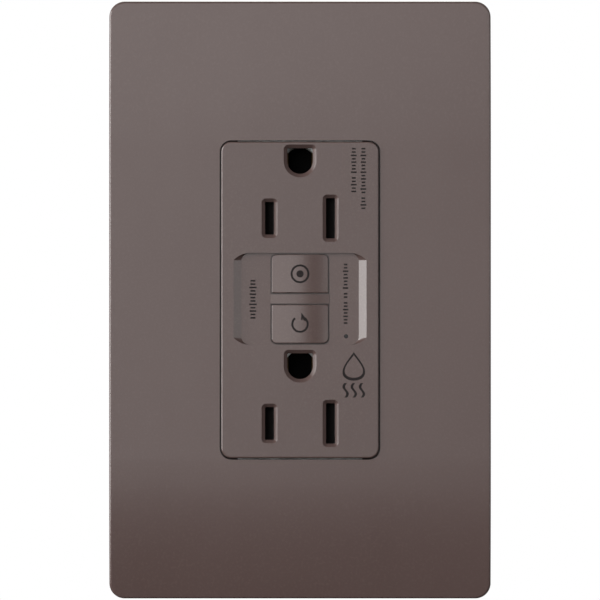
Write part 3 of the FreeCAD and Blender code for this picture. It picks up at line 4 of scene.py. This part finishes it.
import bmesh
import bpy
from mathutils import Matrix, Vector


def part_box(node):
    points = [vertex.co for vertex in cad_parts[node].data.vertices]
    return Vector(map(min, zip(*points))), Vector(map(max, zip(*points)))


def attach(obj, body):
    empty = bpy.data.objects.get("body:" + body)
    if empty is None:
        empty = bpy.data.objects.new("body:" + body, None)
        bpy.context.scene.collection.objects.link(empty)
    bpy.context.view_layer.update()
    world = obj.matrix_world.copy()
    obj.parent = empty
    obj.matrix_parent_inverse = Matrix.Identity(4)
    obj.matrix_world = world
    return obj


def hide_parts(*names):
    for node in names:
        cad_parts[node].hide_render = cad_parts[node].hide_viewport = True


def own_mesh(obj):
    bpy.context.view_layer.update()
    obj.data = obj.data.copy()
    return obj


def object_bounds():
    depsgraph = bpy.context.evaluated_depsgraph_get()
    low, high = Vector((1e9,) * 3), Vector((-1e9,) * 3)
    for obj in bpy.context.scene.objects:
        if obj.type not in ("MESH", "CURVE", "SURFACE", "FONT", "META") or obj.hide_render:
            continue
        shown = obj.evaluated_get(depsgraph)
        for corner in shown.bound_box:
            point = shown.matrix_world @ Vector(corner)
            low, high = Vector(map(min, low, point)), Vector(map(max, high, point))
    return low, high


# The looks of a ground-fault receptacle with a screwless wall plate. Sizes are in millimetres and are
# turned into metres by MM. X runs to the right, Z up, and +Y into the wall.

MM = 0.001

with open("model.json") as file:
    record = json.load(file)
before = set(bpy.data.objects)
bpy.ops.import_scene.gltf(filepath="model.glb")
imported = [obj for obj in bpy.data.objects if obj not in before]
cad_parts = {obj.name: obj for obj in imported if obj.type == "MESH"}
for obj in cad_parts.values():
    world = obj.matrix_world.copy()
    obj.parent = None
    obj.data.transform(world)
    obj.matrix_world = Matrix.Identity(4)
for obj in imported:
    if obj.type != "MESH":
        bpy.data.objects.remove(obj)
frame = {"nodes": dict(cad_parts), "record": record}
cad_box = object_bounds()
nodes = frame["nodes"]
slots = {part["node"]: part["material_slot"] for part in frame["record"]["subparts"]}

# ---------------------------------------------------------------- colours

BROWN = (80, 65, 62)
BROWN_SHADE = (78, 63, 60)
BROWN_LIGHT = (85, 70, 67)
FACE_BROWN = (78, 63, 60)
FACE_SHADE = (76, 61, 58)
FACE_LIGHT = (83, 68, 65)
INK = (24, 19, 19)
INK_THIN = (34, 28, 27)


def linear(colour):
    """A screen colour, 0 to 255, as the linear colour that shaders take."""
    shares = [part / 255 for part in colour]
    return [s / 12.92 if s <= 0.04045 else ((s + 0.055) / 1.055) ** 2.4 for s in shares] + [1.0]


# ---------------------------------------------------------------- shader building


class Finish:
    """A material whose pattern is worked out from where a point lies on its own piece."""

    def __init__(self, name, roughness, **constants):
        self.material = bpy.data.materials.new(name)
        self.material.use_nodes = True
        self.tree = self.material.node_tree
        self.surface = self.tree.nodes["Principled BSDF"]
        self.place = self.add("ShaderNodeTexCoord").outputs["Object"]
        self.normal = None
        self.surface.inputs["Roughness"].default_value = roughness
        for socket, value in constants.items():
            self.surface.inputs[socket.replace("_", " ")].default_value = value

    def add(self, kind, **settings):
        node = self.tree.nodes.new(kind)
        for key, value in settings.items():
            setattr(node, key, value)
        return node

    def join(self, value, socket):
        """Links an output to a socket, or writes a plain value on it."""
        if isinstance(value, bpy.types.NodeSocket):
            self.tree.links.new(value, socket)
        else:
            socket.default_value = value

    def math(self, operation, *values):
        node = self.add("ShaderNodeMath", operation=operation)
        for socket, value in zip(node.inputs, values):
            self.join(value, socket)
        return node.outputs[0]

    def parts(self):
        """The three coordinates of the point, in metres."""
        node = self.add("ShaderNodeSeparateXYZ")
        self.join(self.place, node.inputs[0])
        return node.outputs[0], node.outputs[1], node.outputs[2]

    def stretched(self, x, y, z):
        """The point with its axes scaled, for brushed or drawn surfaces."""
        node = self.add("ShaderNodeVectorMath", operation="MULTIPLY")
        self.join(self.place, node.inputs[0])
        node.inputs[1].default_value = (x, y, z)
        return node.outputs[0]

    def noise(self, size, detail=3.0, place=None):
        """Soft noise from 0 to 1 whose patches are about this size in millimetres."""
        node = self.add("ShaderNodeTexNoise")
        self.join(place or self.place, node.inputs["Vector"])
        node.inputs["Scale"].default_value = 1 / (size * MM)
        node.inputs["Detail"].default_value = detail
        return node.outputs["Fac"]

    def cells(self, size, feature="F1"):
        node = self.add("ShaderNodeTexVoronoi", feature=feature)
        self.join(self.place, node.inputs["Vector"])
        node.inputs["Scale"].default_value = 1 / (size * MM)
        return node.outputs["Distance"]

    def spread(self, value, low, high, start=0.3, end=0.7):
        """Maps the value's range from start to end onto low to high."""
        node = self.add("ShaderNodeMapRange")
        for socket, setting in zip(node.inputs, (value, start, end, low, high)):
            self.join(setting, socket)
        return node.outputs[0]

    def blend(self, share, first, second):
        node = self.add("ShaderNodeMix", data_type="RGBA")
        self.join(share, node.inputs[0])
        self.join(first, node.inputs[6])
        self.join(second, node.inputs[7])
        return node.outputs[2]

    def colour(self, value):
        self.join(value, self.surface.inputs["Base Color"])

    def rough(self, value):
        self.join(value, self.surface.inputs["Roughness"])

    def bump(self, height, depth):
        """Raises the surface by the height, times a depth in millimetres."""
        node = self.add("ShaderNodeBump")
        node.inputs["Strength"].default_value = 1.0
        node.inputs["Distance"].default_value = depth * MM
        self.join(height, node.inputs["Height"])
        if self.normal:
            self.join(self.normal, node.inputs["Normal"])
        self.normal = node.outputs[0]
        self.join(self.normal, self.surface.inputs["Normal"])


# ---------------------------------------------------------------- moulded plastics


HANDLING_MARKS = 0.01


def moulded(name, colour, shade, light, roughness, grain=0.25, grain_depth=0.008):
    """Satin moulded plastic: slow mottling, fine spark-eroded grain and faint flow and handling marks."""
    finish = Finish(name, roughness, IOR=1.5)
    mottle = finish.spread(finish.noise(26.0, 3.0), 0.0, 1.0)
    body = finish.blend(mottle, linear(shade), linear(colour))
    speck = finish.spread(finish.noise(grain * 2, 2.0), 0.0, 0.6, 0.5, 0.75)
    body = finish.blend(speck, body, linear(light))
    finish.colour(body)
    rubbed = finish.noise(5.0, 5.0, finish.stretched(1.0, 1.0, 0.35))
    finish.rough(finish.spread(rubbed, roughness - HANDLING_MARKS, roughness + HANDLING_MARKS))
    finish.bump(finish.noise(grain, 2.0), grain_depth)
    return finish


def plate_plastic():
    return moulded("plate_plastic", BROWN, BROWN_SHADE, BROWN_LIGHT, 0.26)


def face_plastic():
    return moulded("face_plastic", FACE_BROWN, FACE_SHADE, FACE_LIGHT, 0.26, 0.22)


def button_plastic():
    return moulded("button_plastic", BROWN, BROWN_SHADE, BROWN_LIGHT, 0.22, 0.2, 0.003)


# The frame's dark brown is painted shade: the frame shows only through the gap round the face, and its dark
# colour darkens that gap.
def frame_plastic():
    return moulded("frame_plastic", (48, 42, 41), (41, 36, 35), (58, 51, 50), 0.5, 0.35, 0.012)


def housing_plastic():
    """Black heat-resistant moulding with a coarse matt grain and pale scuffs."""
    return moulded("housing_plastic", (46, 46, 49), (37, 37, 40), (60, 60, 62), 0.5, 0.45, 0.02)


def insulator():
    return moulded("insulator", (206, 202, 190), (192, 187, 174), (218, 214, 204), 0.5, 0.4, 0.012)


def shutter_plastic():
    return moulded("shutter_plastic", (18, 16, 16), (12, 11, 11), (28, 25, 24), 0.4, 0.25, 0.006)


def component():
    """Glass-filled epoxy of the small electronic parts."""
    return moulded("component", (38, 38, 40), (29, 29, 31), (52, 52, 54), 0.55, 0.15, 0.01)


def varistor_blue():
    """Dipped coating, uneven where it ran before it set."""
    finish = moulded("varistor_blue", (44, 82, 140), (34, 66, 118), (64, 104, 160), 0.32, 0.6, 0.02)
    finish.bump(finish.noise(2.2, 1.0), 0.08)
    return finish


def fibre():
    """Vulcanised fibre with its short matted strands."""
    finish = Finish("fibre", 0.7, IOR=1.45)
    strands = finish.noise(0.5, 6.0, finish.stretched(1.0, 0.3, 1.6))
    finish.colour(finish.blend(finish.spread(strands, 0.0, 1.0), linear((96, 46, 34)), linear((138, 74, 54))))
    finish.bump(strands, 0.03)
    return finish


def clear_pipe():
    """Acrylic tinted near black, which is painted shade for the unlit lamp, with the faint haze of its
    moulded end.
    """
    finish = Finish("clear_pipe", 0.14, IOR=1.49, Transmission_Weight=0.3, Specular_IOR_Level=0.15)
    haze = finish.spread(finish.noise(0.4, 3.0), 0.0, 1.0)
    finish.colour(finish.blend(haze, linear((16, 14, 13)), linear((30, 27, 25))))
    finish.rough(finish.spread(haze, 0.1, 0.28, 0.0, 1.0))
    finish.bump(finish.noise(0.3, 2.0), 0.004)
    return finish


def lens():
    finish = Finish("lens", 0.12, IOR=1.53, Transmission_Weight=0.6)
    tint = finish.spread(finish.noise(0.8, 2.0), 0.0, 1.0)
    finish.colour(finish.blend(tint, linear((120, 180, 110)), linear((160, 210, 140))))
    finish.rough(finish.spread(tint, 0.08, 0.2, 0.0, 1.0))
    return finish


# ---------------------------------------------------------------- metals and the board


ROLLED_GRAIN = (1.0, 1.0, 0.06)
EVEN_GRAIN = (1.0, 1.0, 1.0)


def rolled_metal(name, colour, stain, roughness, grain=ROLLED_GRAIN, bright=None):
    """Sheet metal: rolling lines along its length, cloudy tarnish and small bright scratches."""
    finish = Finish(name, roughness, Metallic=1.0)
    cloud = finish.spread(finish.noise(4.0, 5.0), 0.0, 1.0, 0.38, 0.68)
    body = finish.blend(cloud, linear(colour), linear(stain))
    lines = finish.noise(0.35, 3.0, finish.stretched(*grain))
    body = finish.blend(finish.spread(lines, 0.0, 0.3), body, linear(bright or colour))
    finish.colour(body)
    worn = finish.spread(finish.noise(1.6, 6.0), roughness - 0.08, roughness + 0.12)
    finish.rough(worn)
    finish.bump(lines, 0.006)
    return finish


def zinc_steel():
    """Galvanised steel with the faint crystal pattern of its zinc."""
    finish = rolled_metal("zinc_steel", (176, 177, 174), (140, 141, 139), 0.38, bright=(206, 207, 205))
    crystals = finish.cells(2.4, "SMOOTH_F1")
    finish.bump(crystals, 0.015)
    return finish


def brass():
    return rolled_metal("brass", (178, 146, 86), (128, 98, 54), 0.36, bright=(206, 180, 122))


def shade_darkened_brass():
    """Brass darkened to a dark brown: painted shade for contacts that sit deep behind the ground holes."""
    return rolled_metal("shade_darkened_brass", (72, 56, 34), (44, 34, 22), 0.5, bright=(96, 78, 50))


def tinned_brass():
    return rolled_metal("tinned_brass", (196, 193, 182), (160, 154, 138), 0.34, bright=(218, 215, 206))


def silver():
    return rolled_metal("silver", (214, 212, 206), (176, 170, 158), 0.28, EVEN_GRAIN, (236, 235, 230))


def copper():
    return rolled_metal("copper", (196, 118, 84), (138, 76, 52), 0.32, bright=(222, 150, 112))


def spring_steel():
    return rolled_metal(
        "spring_steel", (152, 152, 154), (112, 112, 116), 0.26, EVEN_GRAIN, (190, 190, 194)
    )


def green_steel():
    """Green dyed plating over steel, thinner and brighter where a driver has rubbed it."""
    finish = Finish("green_steel", 0.34, Metallic=0.75)
    cloud = finish.spread(finish.noise(1.8, 5.0), 0.0, 1.0)
    body = finish.blend(cloud, linear((40, 116, 66)), linear((26, 88, 48)))
    rubbed = finish.spread(finish.noise(0.7, 6.0), 0.0, 0.8, 0.62, 0.8)
    finish.colour(finish.blend(rubbed, body, linear((150, 168, 140))))
    finish.rough(finish.spread(cloud, 0.28, 0.42, 0.0, 1.0))
    finish.bump(finish.noise(0.4, 3.0), 0.01)
    return finish


def winding_copper():
    """Enamelled wire wound side by side; each turn's colour runs from dark in the groove to bright on its
    crown, which is painted shade and painted highlight.
    """
    finish = Finish("winding_copper", 0.24, Metallic=0.85, Coat_Weight=0.6)
    turns_and_painted_sheen = finish.add("ShaderNodeTexWave", bands_direction="Z")
    finish.join(finish.place, turns_and_painted_sheen.inputs["Vector"])
    turns_and_painted_sheen.inputs["Scale"].default_value = 1100.0
    turns_and_painted_sheen.inputs["Distortion"].default_value = 1.2
    # The same bands that raise each turn also colour it: painted highlight on the crowns, painted shade in
    # the grooves.
    finish.colour(finish.blend(turns_and_painted_sheen.outputs["Fac"], linear((104, 44, 24)), linear((198, 104, 60))))
    finish.rough(finish.spread(turns_and_painted_sheen.outputs["Fac"], 0.2, 0.36, 0.0, 1.0))
    finish.bump(turns_and_painted_sheen.outputs["Fac"], 0.08)
    return finish


def board_laminate():
    """Green solder mask over glass weave, with the paler shadow of the copper tracks below it."""
    finish = Finish("board_laminate", 0.3, IOR=1.5)
    tracks = finish.cells(2.6, "DISTANCE_TO_EDGE")
    track = finish.spread(tracks, 1.0, 0.0, 0.07, 0.1)
    finish.colour(finish.blend(track, linear((18, 70, 42)), linear((44, 118, 70))))
    weave = finish.add("ShaderNodeTexChecker")
    finish.join(finish.place, weave.inputs["Vector"])
    weave.inputs["Scale"].default_value = 2200.0
    finish.rough(finish.spread(finish.noise(1.0, 3.0), 0.24, 0.4))
    finish.bump(weave.outputs["Fac"], 0.006)
    finish.bump(track, 0.03)
    return finish


FINISHES = (
    plate_plastic,
    face_plastic,
    button_plastic,
    frame_plastic,
    housing_plastic,
    insulator,
    shutter_plastic,
    clear_pipe,
    zinc_steel,
    green_steel,
    brass,
    tinned_brass,
    silver,
    copper,
    board_laminate,
    winding_copper,
    spring_steel,
    component,
    varistor_blue,
    lens,
    fibre,
)


def dress_nodes():
    """Gives each CAD node the finish of its slot in the record."""
    made = {make.__name__: make().material for make in FINISHES}
    for name, node in nodes.items():
        node.data.materials.clear()
        node.data.materials.append(made[slots[name]])
        node.data.polygons.foreach_set("material_index", [0] * len(node.data.polygons))


# ---------------------------------------------------------------- threads

THREAD_PITCH = 0.79
THREAD_DEPTH = 0.12

# How far each screw's head reaches along it; its thread starts behind that.
PAIRED_SCREWS = {"box_screws": 2.6, "plate_screws": 0.9}
SIDE_SCREWS = {
    "ground_screw": (green_steel, 2.5),
    "line_hot_screw": (brass, 2.4),
    "load_hot_screw": (brass, 2.4),
    "line_neutral_screw": (tinned_brass, 2.4),
    "load_neutral_screw": (tinned_brass, 2.4),
}


def cut_thread(finish, depth, first, second, head):
    """A helical thread behind the head, from the depth and the two distances across it, in metres."""
    turn = finish.math("DIVIDE", finish.math("ARCTAN2", second, first), 2 * math.pi)
    rise = finish.math("DIVIDE", depth, THREAD_PITCH * MM)
    share = finish.math("FRACT", finish.math("ADD", rise, turn))
    flank = finish.math("ABSOLUTE", finish.math("SUBTRACT", share, 0.5))
    behind = finish.math("GREATER_THAN", depth, head * MM)
    finish.bump(finish.math("MULTIPLY", flank, behind), 2 * THREAD_DEPTH)


def middle(node):
    low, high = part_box(node)
    return (low + high) / 2


def pair_thread(node, head):
    """The finish for two like screws that run into the wall, one above the other."""
    finish = zinc_steel()
    x, y, z = finish.parts()
    low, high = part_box(node)
    head_radius = high.x
    depth = finish.math("SUBTRACT", y, low.y)
    across = finish.math("SUBTRACT", finish.math("ABSOLUTE", z), high.z - head_radius)
    cut_thread(finish, depth, x, across, head)
    return finish.material


def side_thread(node, base, head):
    """The finish for a screw that runs inward from one side."""
    finish = base()
    x, y, z = finish.parts()
    centre = middle(node)
    outer = max(abs(corner.x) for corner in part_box(node))
    depth = finish.math("SUBTRACT", outer, finish.math("ABSOLUTE", x))
    first = finish.math("SUBTRACT", y, centre.y)
    second = finish.math("SUBTRACT", z, centre.z)
    cut_thread(finish, depth, first, second, head)
    return finish.material


def darken_contacts_as_shade():
    """The ground contacts sit deep behind the ground holes; their darkened brass is painted shade."""
    shade_dark_brass = shade_darkened_brass().material
    for node in ("upper_ground_contact", "lower_ground_contact"):
        nodes[node].data.materials[0] = shade_dark_brass


def thread_screws():
    for node, head in PAIRED_SCREWS.items():
        nodes[node].data.materials[0] = pair_thread(node, head)
    for node, (base, head) in SIDE_SCREWS.items():
        nodes[node].data.materials[0] = side_thread(node, base, head)


# ---------------------------------------------------------------- springs


def soften(name):
    """Replaces a spring with a copy of its mesh that rides on the device."""
    node = nodes[name]
    spring = bpy.data.objects.new(f"soft_{name}", node.data.copy())
    bpy.context.scene.collection.objects.link(spring)
    spring.matrix_world = node.matrix_world
    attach(spring, "device")
    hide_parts(name)
    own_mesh(spring)


def soften_springs():
    for joint in frame["record"]["behaviour"]["joints"]:
        for spring in joint.get("deforming_nodes", ()):
            soften(spring["node"])


# ---------------------------------------------------------------- printed marks

INK_THICKNESS = 0.01
ARC_STEPS = 48
STROKE = 0.42
RING_RADIUS = 1.75
DOT_RADIUS = 0.75
TURN_RADIUS = 1.6
TURN_SPAN = (130.0, 410.0)
DROP_PLACE = (11.2, -13.8)
DROP_HALF_WIDTH = 3.3
DROP_HEIGHT = 6.0
DROP_STROKE = 0.62
WAVE_PLACES = (9.5, 11.2, 12.9)
WAVE_HEIGHT = -18.8
WAVE_LENGTH = 3.0
WAVE_SWING = 0.4
WAVE_STROKE = 0.55
TICK_PITCH = 0.7
TICK_WIDTH = 0.34
TICK_REACH = (0.8, 0.8, 1.2, 0.8, 1.05)
WORD_GAP = 0.5
CROWN_RADIUS = 31.9
RECESS_FLOOR = -6.05


def ink():
    """Matt pad-printed ink with slightly uneven cover."""
    finish = Finish("ink", 0.6, IOR=1.45, Specular_IOR_Level=0.2)
    cover = finish.spread(finish.noise(0.4, 4.0), 0.0, 1.0)
    finish.colour(finish.blend(cover, linear(INK), linear(INK_THIN)))
    finish.rough(finish.spread(cover, 0.52, 0.68, 0.0, 1.0))
    finish.bump(finish.noise(0.15, 2.0), 0.004)
    return finish.material


def arc(centre, radius, width, start=0.0, end=360.0):
    """A curved band as pairs of points, its inner edge and its outer edge, angles in degrees."""
    band = []
    for step in range(ARC_STEPS + 1):
        angle = math.radians(start + (end - start) * step / ARC_STEPS)
        ray = (math.cos(angle), math.sin(angle))
        band.append(
            [
                (centre[0] + ray[0] * (radius + shift), centre[1] + ray[1] * (radius + shift))
                for shift in (-width / 2, width / 2)
            ]
        )
    return band


def disc(centre, radius):
    return arc(centre, radius / 2, radius)


def bar(x, z, width):
    """A short level bar."""
    return [[(place, z - width / 2), (place, z + width / 2)] for place in x]


def arrow_head(tip, left, right):
    return [[tip, tip], [left, right]]


def drop(centre, half_width, height, width):
    """A water drop's outline."""
    band = []
    for step in range(ARC_STEPS + 1):
        angle = 2 * math.pi * step / ARC_STEPS
        sway = math.sin(angle) * math.sin(angle / 2) ** 1.4
        pair = []
        for shift in (-width, 0.0):
            x = centre[0] + (half_width + shift) * sway
            z = centre[1] + (height / 2 + shift) * math.cos(angle)
            pair.append((x, z))
        band.append(pair)
    return band


def wave(centre, length, swing, width):
    """A wavy line that runs upright."""
    band = []
    for step in range(ARC_STEPS + 1):
        share = step / ARC_STEPS
        x = centre[0] + swing * math.sin(share * 2 * math.pi)
        z = centre[1] + (share - 0.5) * length
        band.append([(x - width / 2, z), (x + width / 2, z)])
    return band


def add_piece(name, made, finish, body):
    """Makes an object of the mesh and lets it ride on the body."""
    mesh = bpy.data.meshes.new(name)
    made.to_mesh(mesh)
    made.free()
    mesh.materials.append(finish)
    item = bpy.data.objects.new(name, mesh)
    bpy.context.scene.collection.objects.link(item)
    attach(item, body)


def print_marks(name, bands, surface, body, finish):
    """Lays the marks on a front surface, which gives y for a place, and lets them ride on the body."""
    made = bmesh.new()
    for band in bands:
        rows = []
        for pair in band:
            rows.append([made.verts.new(Vector((x, surface(x), z)) * MM) for x, z in pair])
        for one, two in zip(rows, rows[1:]):
            made.faces.new((one[0], one[1], two[1], two[0]))
    bmesh.ops.remove_doubles(made, verts=made.verts, dist=0.001 * MM)
    bmesh.ops.recalc_face_normals(made, faces=made.faces)
    if sum(face.normal.y for face in made.faces) > 0:
        bmesh.ops.reverse_faces(made, faces=made.faces)
    add_piece(name, made, finish, body)


def flat(front):
    return lambda x: front - INK_THICKNESS


def crowned(node):
    """The front of a button, which bulges across its width."""
    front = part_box(node)[0].y / MM
    return lambda x: front + (CROWN_RADIUS - math.sqrt(CROWN_RADIUS**2 - x**2)) - INK_THICKNESS


def column(x, words, top, height):
    """Words that can't be read: rows of short ticks, one below the other, in the rhythm of small print."""
    bands = []
    for count in words:
        for tick in range(count):
            reach = height * TICK_REACH[tick % len(TICK_REACH)] / 2
            bands.append(bar((x - reach, x + reach), top, TICK_WIDTH))
            top -= TICK_PITCH
        top -= WORD_GAP
    return bands


def test_mark(centre):
    """A ring round a dot: a generic sign for trying a switch."""
    return [arc(centre, RING_RADIUS, STROKE), disc(centre, DOT_RADIUS)]


def reset_mark(centre):
    """A ring that turns back on itself, ending in an arrow."""
    x, z = centre
    return [
        arc(centre, TURN_RADIUS, STROKE, *TURN_SPAN),
        arrow_head((x + 0.3, z + 2.35), (x + 1.75, z + 0.5), (x + 0.2, z + 0.9)),
    ]


def marks(finish):
    """All the print on the front: what stands beside the upper receptacle, in the recess and on the keys."""
    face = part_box("face_cover")[0].y / MM
    reading = column(11.2, (8, 5), 31.5, 1.0) + column(13.2, (14, 4), 31.5, 1.0)
    weather = [drop(DROP_PLACE, DROP_HALF_WIDTH, DROP_HEIGHT, DROP_STROKE)]
    for place in WAVE_PLACES:
        weather.append(wave((place, WAVE_HEIGHT), WAVE_LENGTH, WAVE_SWING, WAVE_STROKE))
    print_marks("reading_marks", reading, flat(face), "device", finish)
    print_marks("weather_mark", weather, flat(face), "device", finish)
    note = column(9.5, (8, 2, 7), 7.4, 0.95)
    print_marks("note_marks", note, flat(RECESS_FLOOR), "device", finish)
    plain = column(-9.8, (12,), 4.0, 1.3)
    print_marks("plain_marks", plain, flat(RECESS_FLOOR), "device", finish)
    for node, body, mark in (
        ("test_button", "test_key", test_mark),
        ("reset_button", "reset_key", reset_mark),
    ):
        bands = mark((0.0, middle(node).z / MM))
        print_marks(f"{body}_mark", bands, crowned(node), body, finish)


# ---------------------------------------------------------------- shade sheets behind the ground holes

SHADE_SHEET_SIZE = (9.0, 8.0)
SHADE_SHEET_CORNER = 1.5
SHADE_SHEET_FRONT = 14.05
SHADE_SHEET_THICKNESS = 0.1
CORNER_STEPS = 6
GROUND_HOLES = {"upper_shade_sheet": 28.92, "lower_shade_sheet": -13.81}


def shade_sheet_plastic():
    """A near-black sheet with fine creases: painted shade behind a ground opening."""
    finish = Finish("shade_sheet_plastic", 0.6, IOR=1.45, Specular_IOR_Level=0.2)
    crease = finish.noise(3.0, 6.0)
    finish.colour(finish.blend(finish.spread(crease, 0.0, 1.0), linear((9, 9, 10)), linear((16, 15, 15))))
    finish.rough(finish.spread(crease, 0.55, 0.7))
    finish.bump(crease, 0.03)
    return finish.material


def shade_sheet_outline(centre):
    """A rectangle with round corners, as points in X and Z."""
    points = []
    for quarter, (side, end) in enumerate(((1, 1), (-1, 1), (-1, -1), (1, -1))):
        x = side * (SHADE_SHEET_SIZE[0] / 2 - SHADE_SHEET_CORNER)
        z = centre + end * (SHADE_SHEET_SIZE[1] / 2 - SHADE_SHEET_CORNER)
        for step in range(CORNER_STEPS + 1):
            angle = math.pi / 2 * (quarter + step / CORNER_STEPS)
            points.append((x + SHADE_SHEET_CORNER * math.cos(angle), z + SHADE_SHEET_CORNER * math.sin(angle)))
    return points


def lay_shade_sheets():
    """Near-black sheets behind the two ground openings: painted shade that closes off the works seen through
    them.
    """
    finish = shade_sheet_plastic()
    for name, centre in GROUND_HOLES.items():
        made = bmesh.new()
        rings = []
        for y in (SHADE_SHEET_FRONT, SHADE_SHEET_FRONT + SHADE_SHEET_THICKNESS):
            rings.append([made.verts.new(Vector((x, y, z)) * MM) for x, z in shade_sheet_outline(centre)])
        count = len(rings[0])
        for spot in range(count):
            following = (spot + 1) % count
            made.faces.new((rings[0][spot], rings[0][following], rings[1][following], rings[1][spot]))
        made.faces.new(rings[0])
        made.faces.new(rings[1][::-1])
        bmesh.ops.recalc_face_normals(made, faces=made.faces)
        add_piece(name, made, finish, "device")


# ---------------------------------------------------------------- stage

# Sizes and places of the studio are in metres.
AIR_STRENGTH = 0.12
AIR_BELOW = 0.3
AIR_FADE = (-0.35, 0.1)
FLOOR_DROP = 0.36
FLOOR_REACH = 6.0
FLOOR_GLOW = 0.75
CAMERA_DISTANCE = 1.5
PICTURE_WIDTH = 0.1249

# Each softbox: its place, its width and height, and its brightness.
SOFTBOXES = {
    "key_left": ((-1.4, -0.5, 0.3), (1.4, 1.2), 9.0),
    "strip_right": ((1.25, -0.85, 0.2), (0.35, 1.2), 2.5),
    "panel_front": ((-0.46, -1.875, 0.5), (1.26, 1.46), 2.45),
    "panel_right": ((1.02, -1.75, 0.52), (0.92, 1.46), 2.3),
    "panel_back": ((0.7, 1.7, 0.8), (1.4, 1.2), 3.0),
}


def softbox(name, place, size, brightness):
    """A soft panel that faces the device, as bright all over as the number says."""
    light = bpy.data.lights.new(name, "AREA")
    light.shape = "RECTANGLE"
    light.size, light.size_y = size
    light.energy = brightness * math.pi * size[0] * size[1]
    lamp = bpy.data.objects.new(name, light)
    lamp.location = place
    lamp.rotation_euler = (-Vector(place)).to_track_quat("-Z", "Y").to_euler()
    lamp.visible_camera = False
    bpy.context.scene.collection.objects.link(lamp)


def studio_air():
    """Pale air all round: white to look at, softer as a light, and dimmer towards the floor."""
    world = bpy.data.worlds.new("studio_air")
    world.use_nodes = True
    tree = world.node_tree
    seen = tree.nodes["Background"]
    seen.inputs["Color"].default_value = (1.0, 1.0, 1.0, 1.0)
    seen.inputs["Strength"].default_value = 1.0
    glow = tree.nodes.new("ShaderNodeBackground")
    glow.inputs["Strength"].default_value = AIR_STRENGTH
    place = tree.nodes.new("ShaderNodeTexCoord")
    split = tree.nodes.new("ShaderNodeSeparateXYZ")
    ramp = tree.nodes.new("ShaderNodeMapRange")
    for socket, value in zip(ramp.inputs[1:5], (*AIR_FADE, AIR_BELOW, 1.0)):
        socket.default_value = value
    path = tree.nodes.new("ShaderNodeLightPath")
    choose = tree.nodes.new("ShaderNodeMixShader")
    tree.links.new(place.outputs["Generated"], split.inputs[0])
    tree.links.new(split.outputs[2], ramp.inputs[0])
    tree.links.new(ramp.outputs[0], glow.inputs["Color"])
    tree.links.new(path.outputs["Is Camera Ray"], choose.inputs[0])
    tree.links.new(glow.outputs[0], choose.inputs[1])
    tree.links.new(seen.outputs[0], choose.inputs[2])
    tree.links.new(choose.outputs[0], tree.nodes["World Output"].inputs["Surface"])
    bpy.context.scene.world = world


def floor():
    mesh = bpy.data.meshes.new("floor")
    made = bmesh.new()
    bmesh.ops.create_grid(made, x_segments=8, y_segments=8, size=FLOOR_REACH)
    made.to_mesh(mesh)
    made.free()
    item = bpy.data.objects.new("floor", mesh)
    item.location = (0.0, 0.0, -FLOOR_DROP)
    bpy.context.scene.collection.objects.link(item)
    finish = Finish("floor", 0.8, Emission_Strength=FLOOR_GLOW)
    pale = finish.blend(finish.noise(60.0, 3.0), linear((238, 237, 236)), linear((244, 243, 242)))
    finish.colour(pale)
    finish.join(pale, finish.surface.inputs["Emission Color"])
    mesh.materials.append(finish.material)
    item.visible_diffuse = False
    item.visible_glossy = False


def camera():
    """A long lens, straight at the front of the plate."""
    front = cad_box[0].y
    data = bpy.data.cameras.new("camera")
    data.lens = data.sensor_width * CAMERA_DISTANCE / PICTURE_WIDTH
    data.clip_end = 20.0
    item = bpy.data.objects.new("camera", data)
    item.location = (0.0, front - CAMERA_DISTANCE, 0.0)
    item.rotation_euler = (math.pi / 2, 0.0, 0.0)
    bpy.context.scene.collection.objects.link(item)
    bpy.context.scene.camera = item


def studio():
    studio_air()
    floor()
    for name, (place, size, brightness) in SOFTBOXES.items():
        softbox(name, place, size, brightness)
    bpy.context.scene.view_settings.view_transform = "Standard"
    camera()


dress_nodes()
thread_screws()
darken_contacts_as_shade()
soften_springs()
marks(ink())
lay_shade_sheets()
studio()
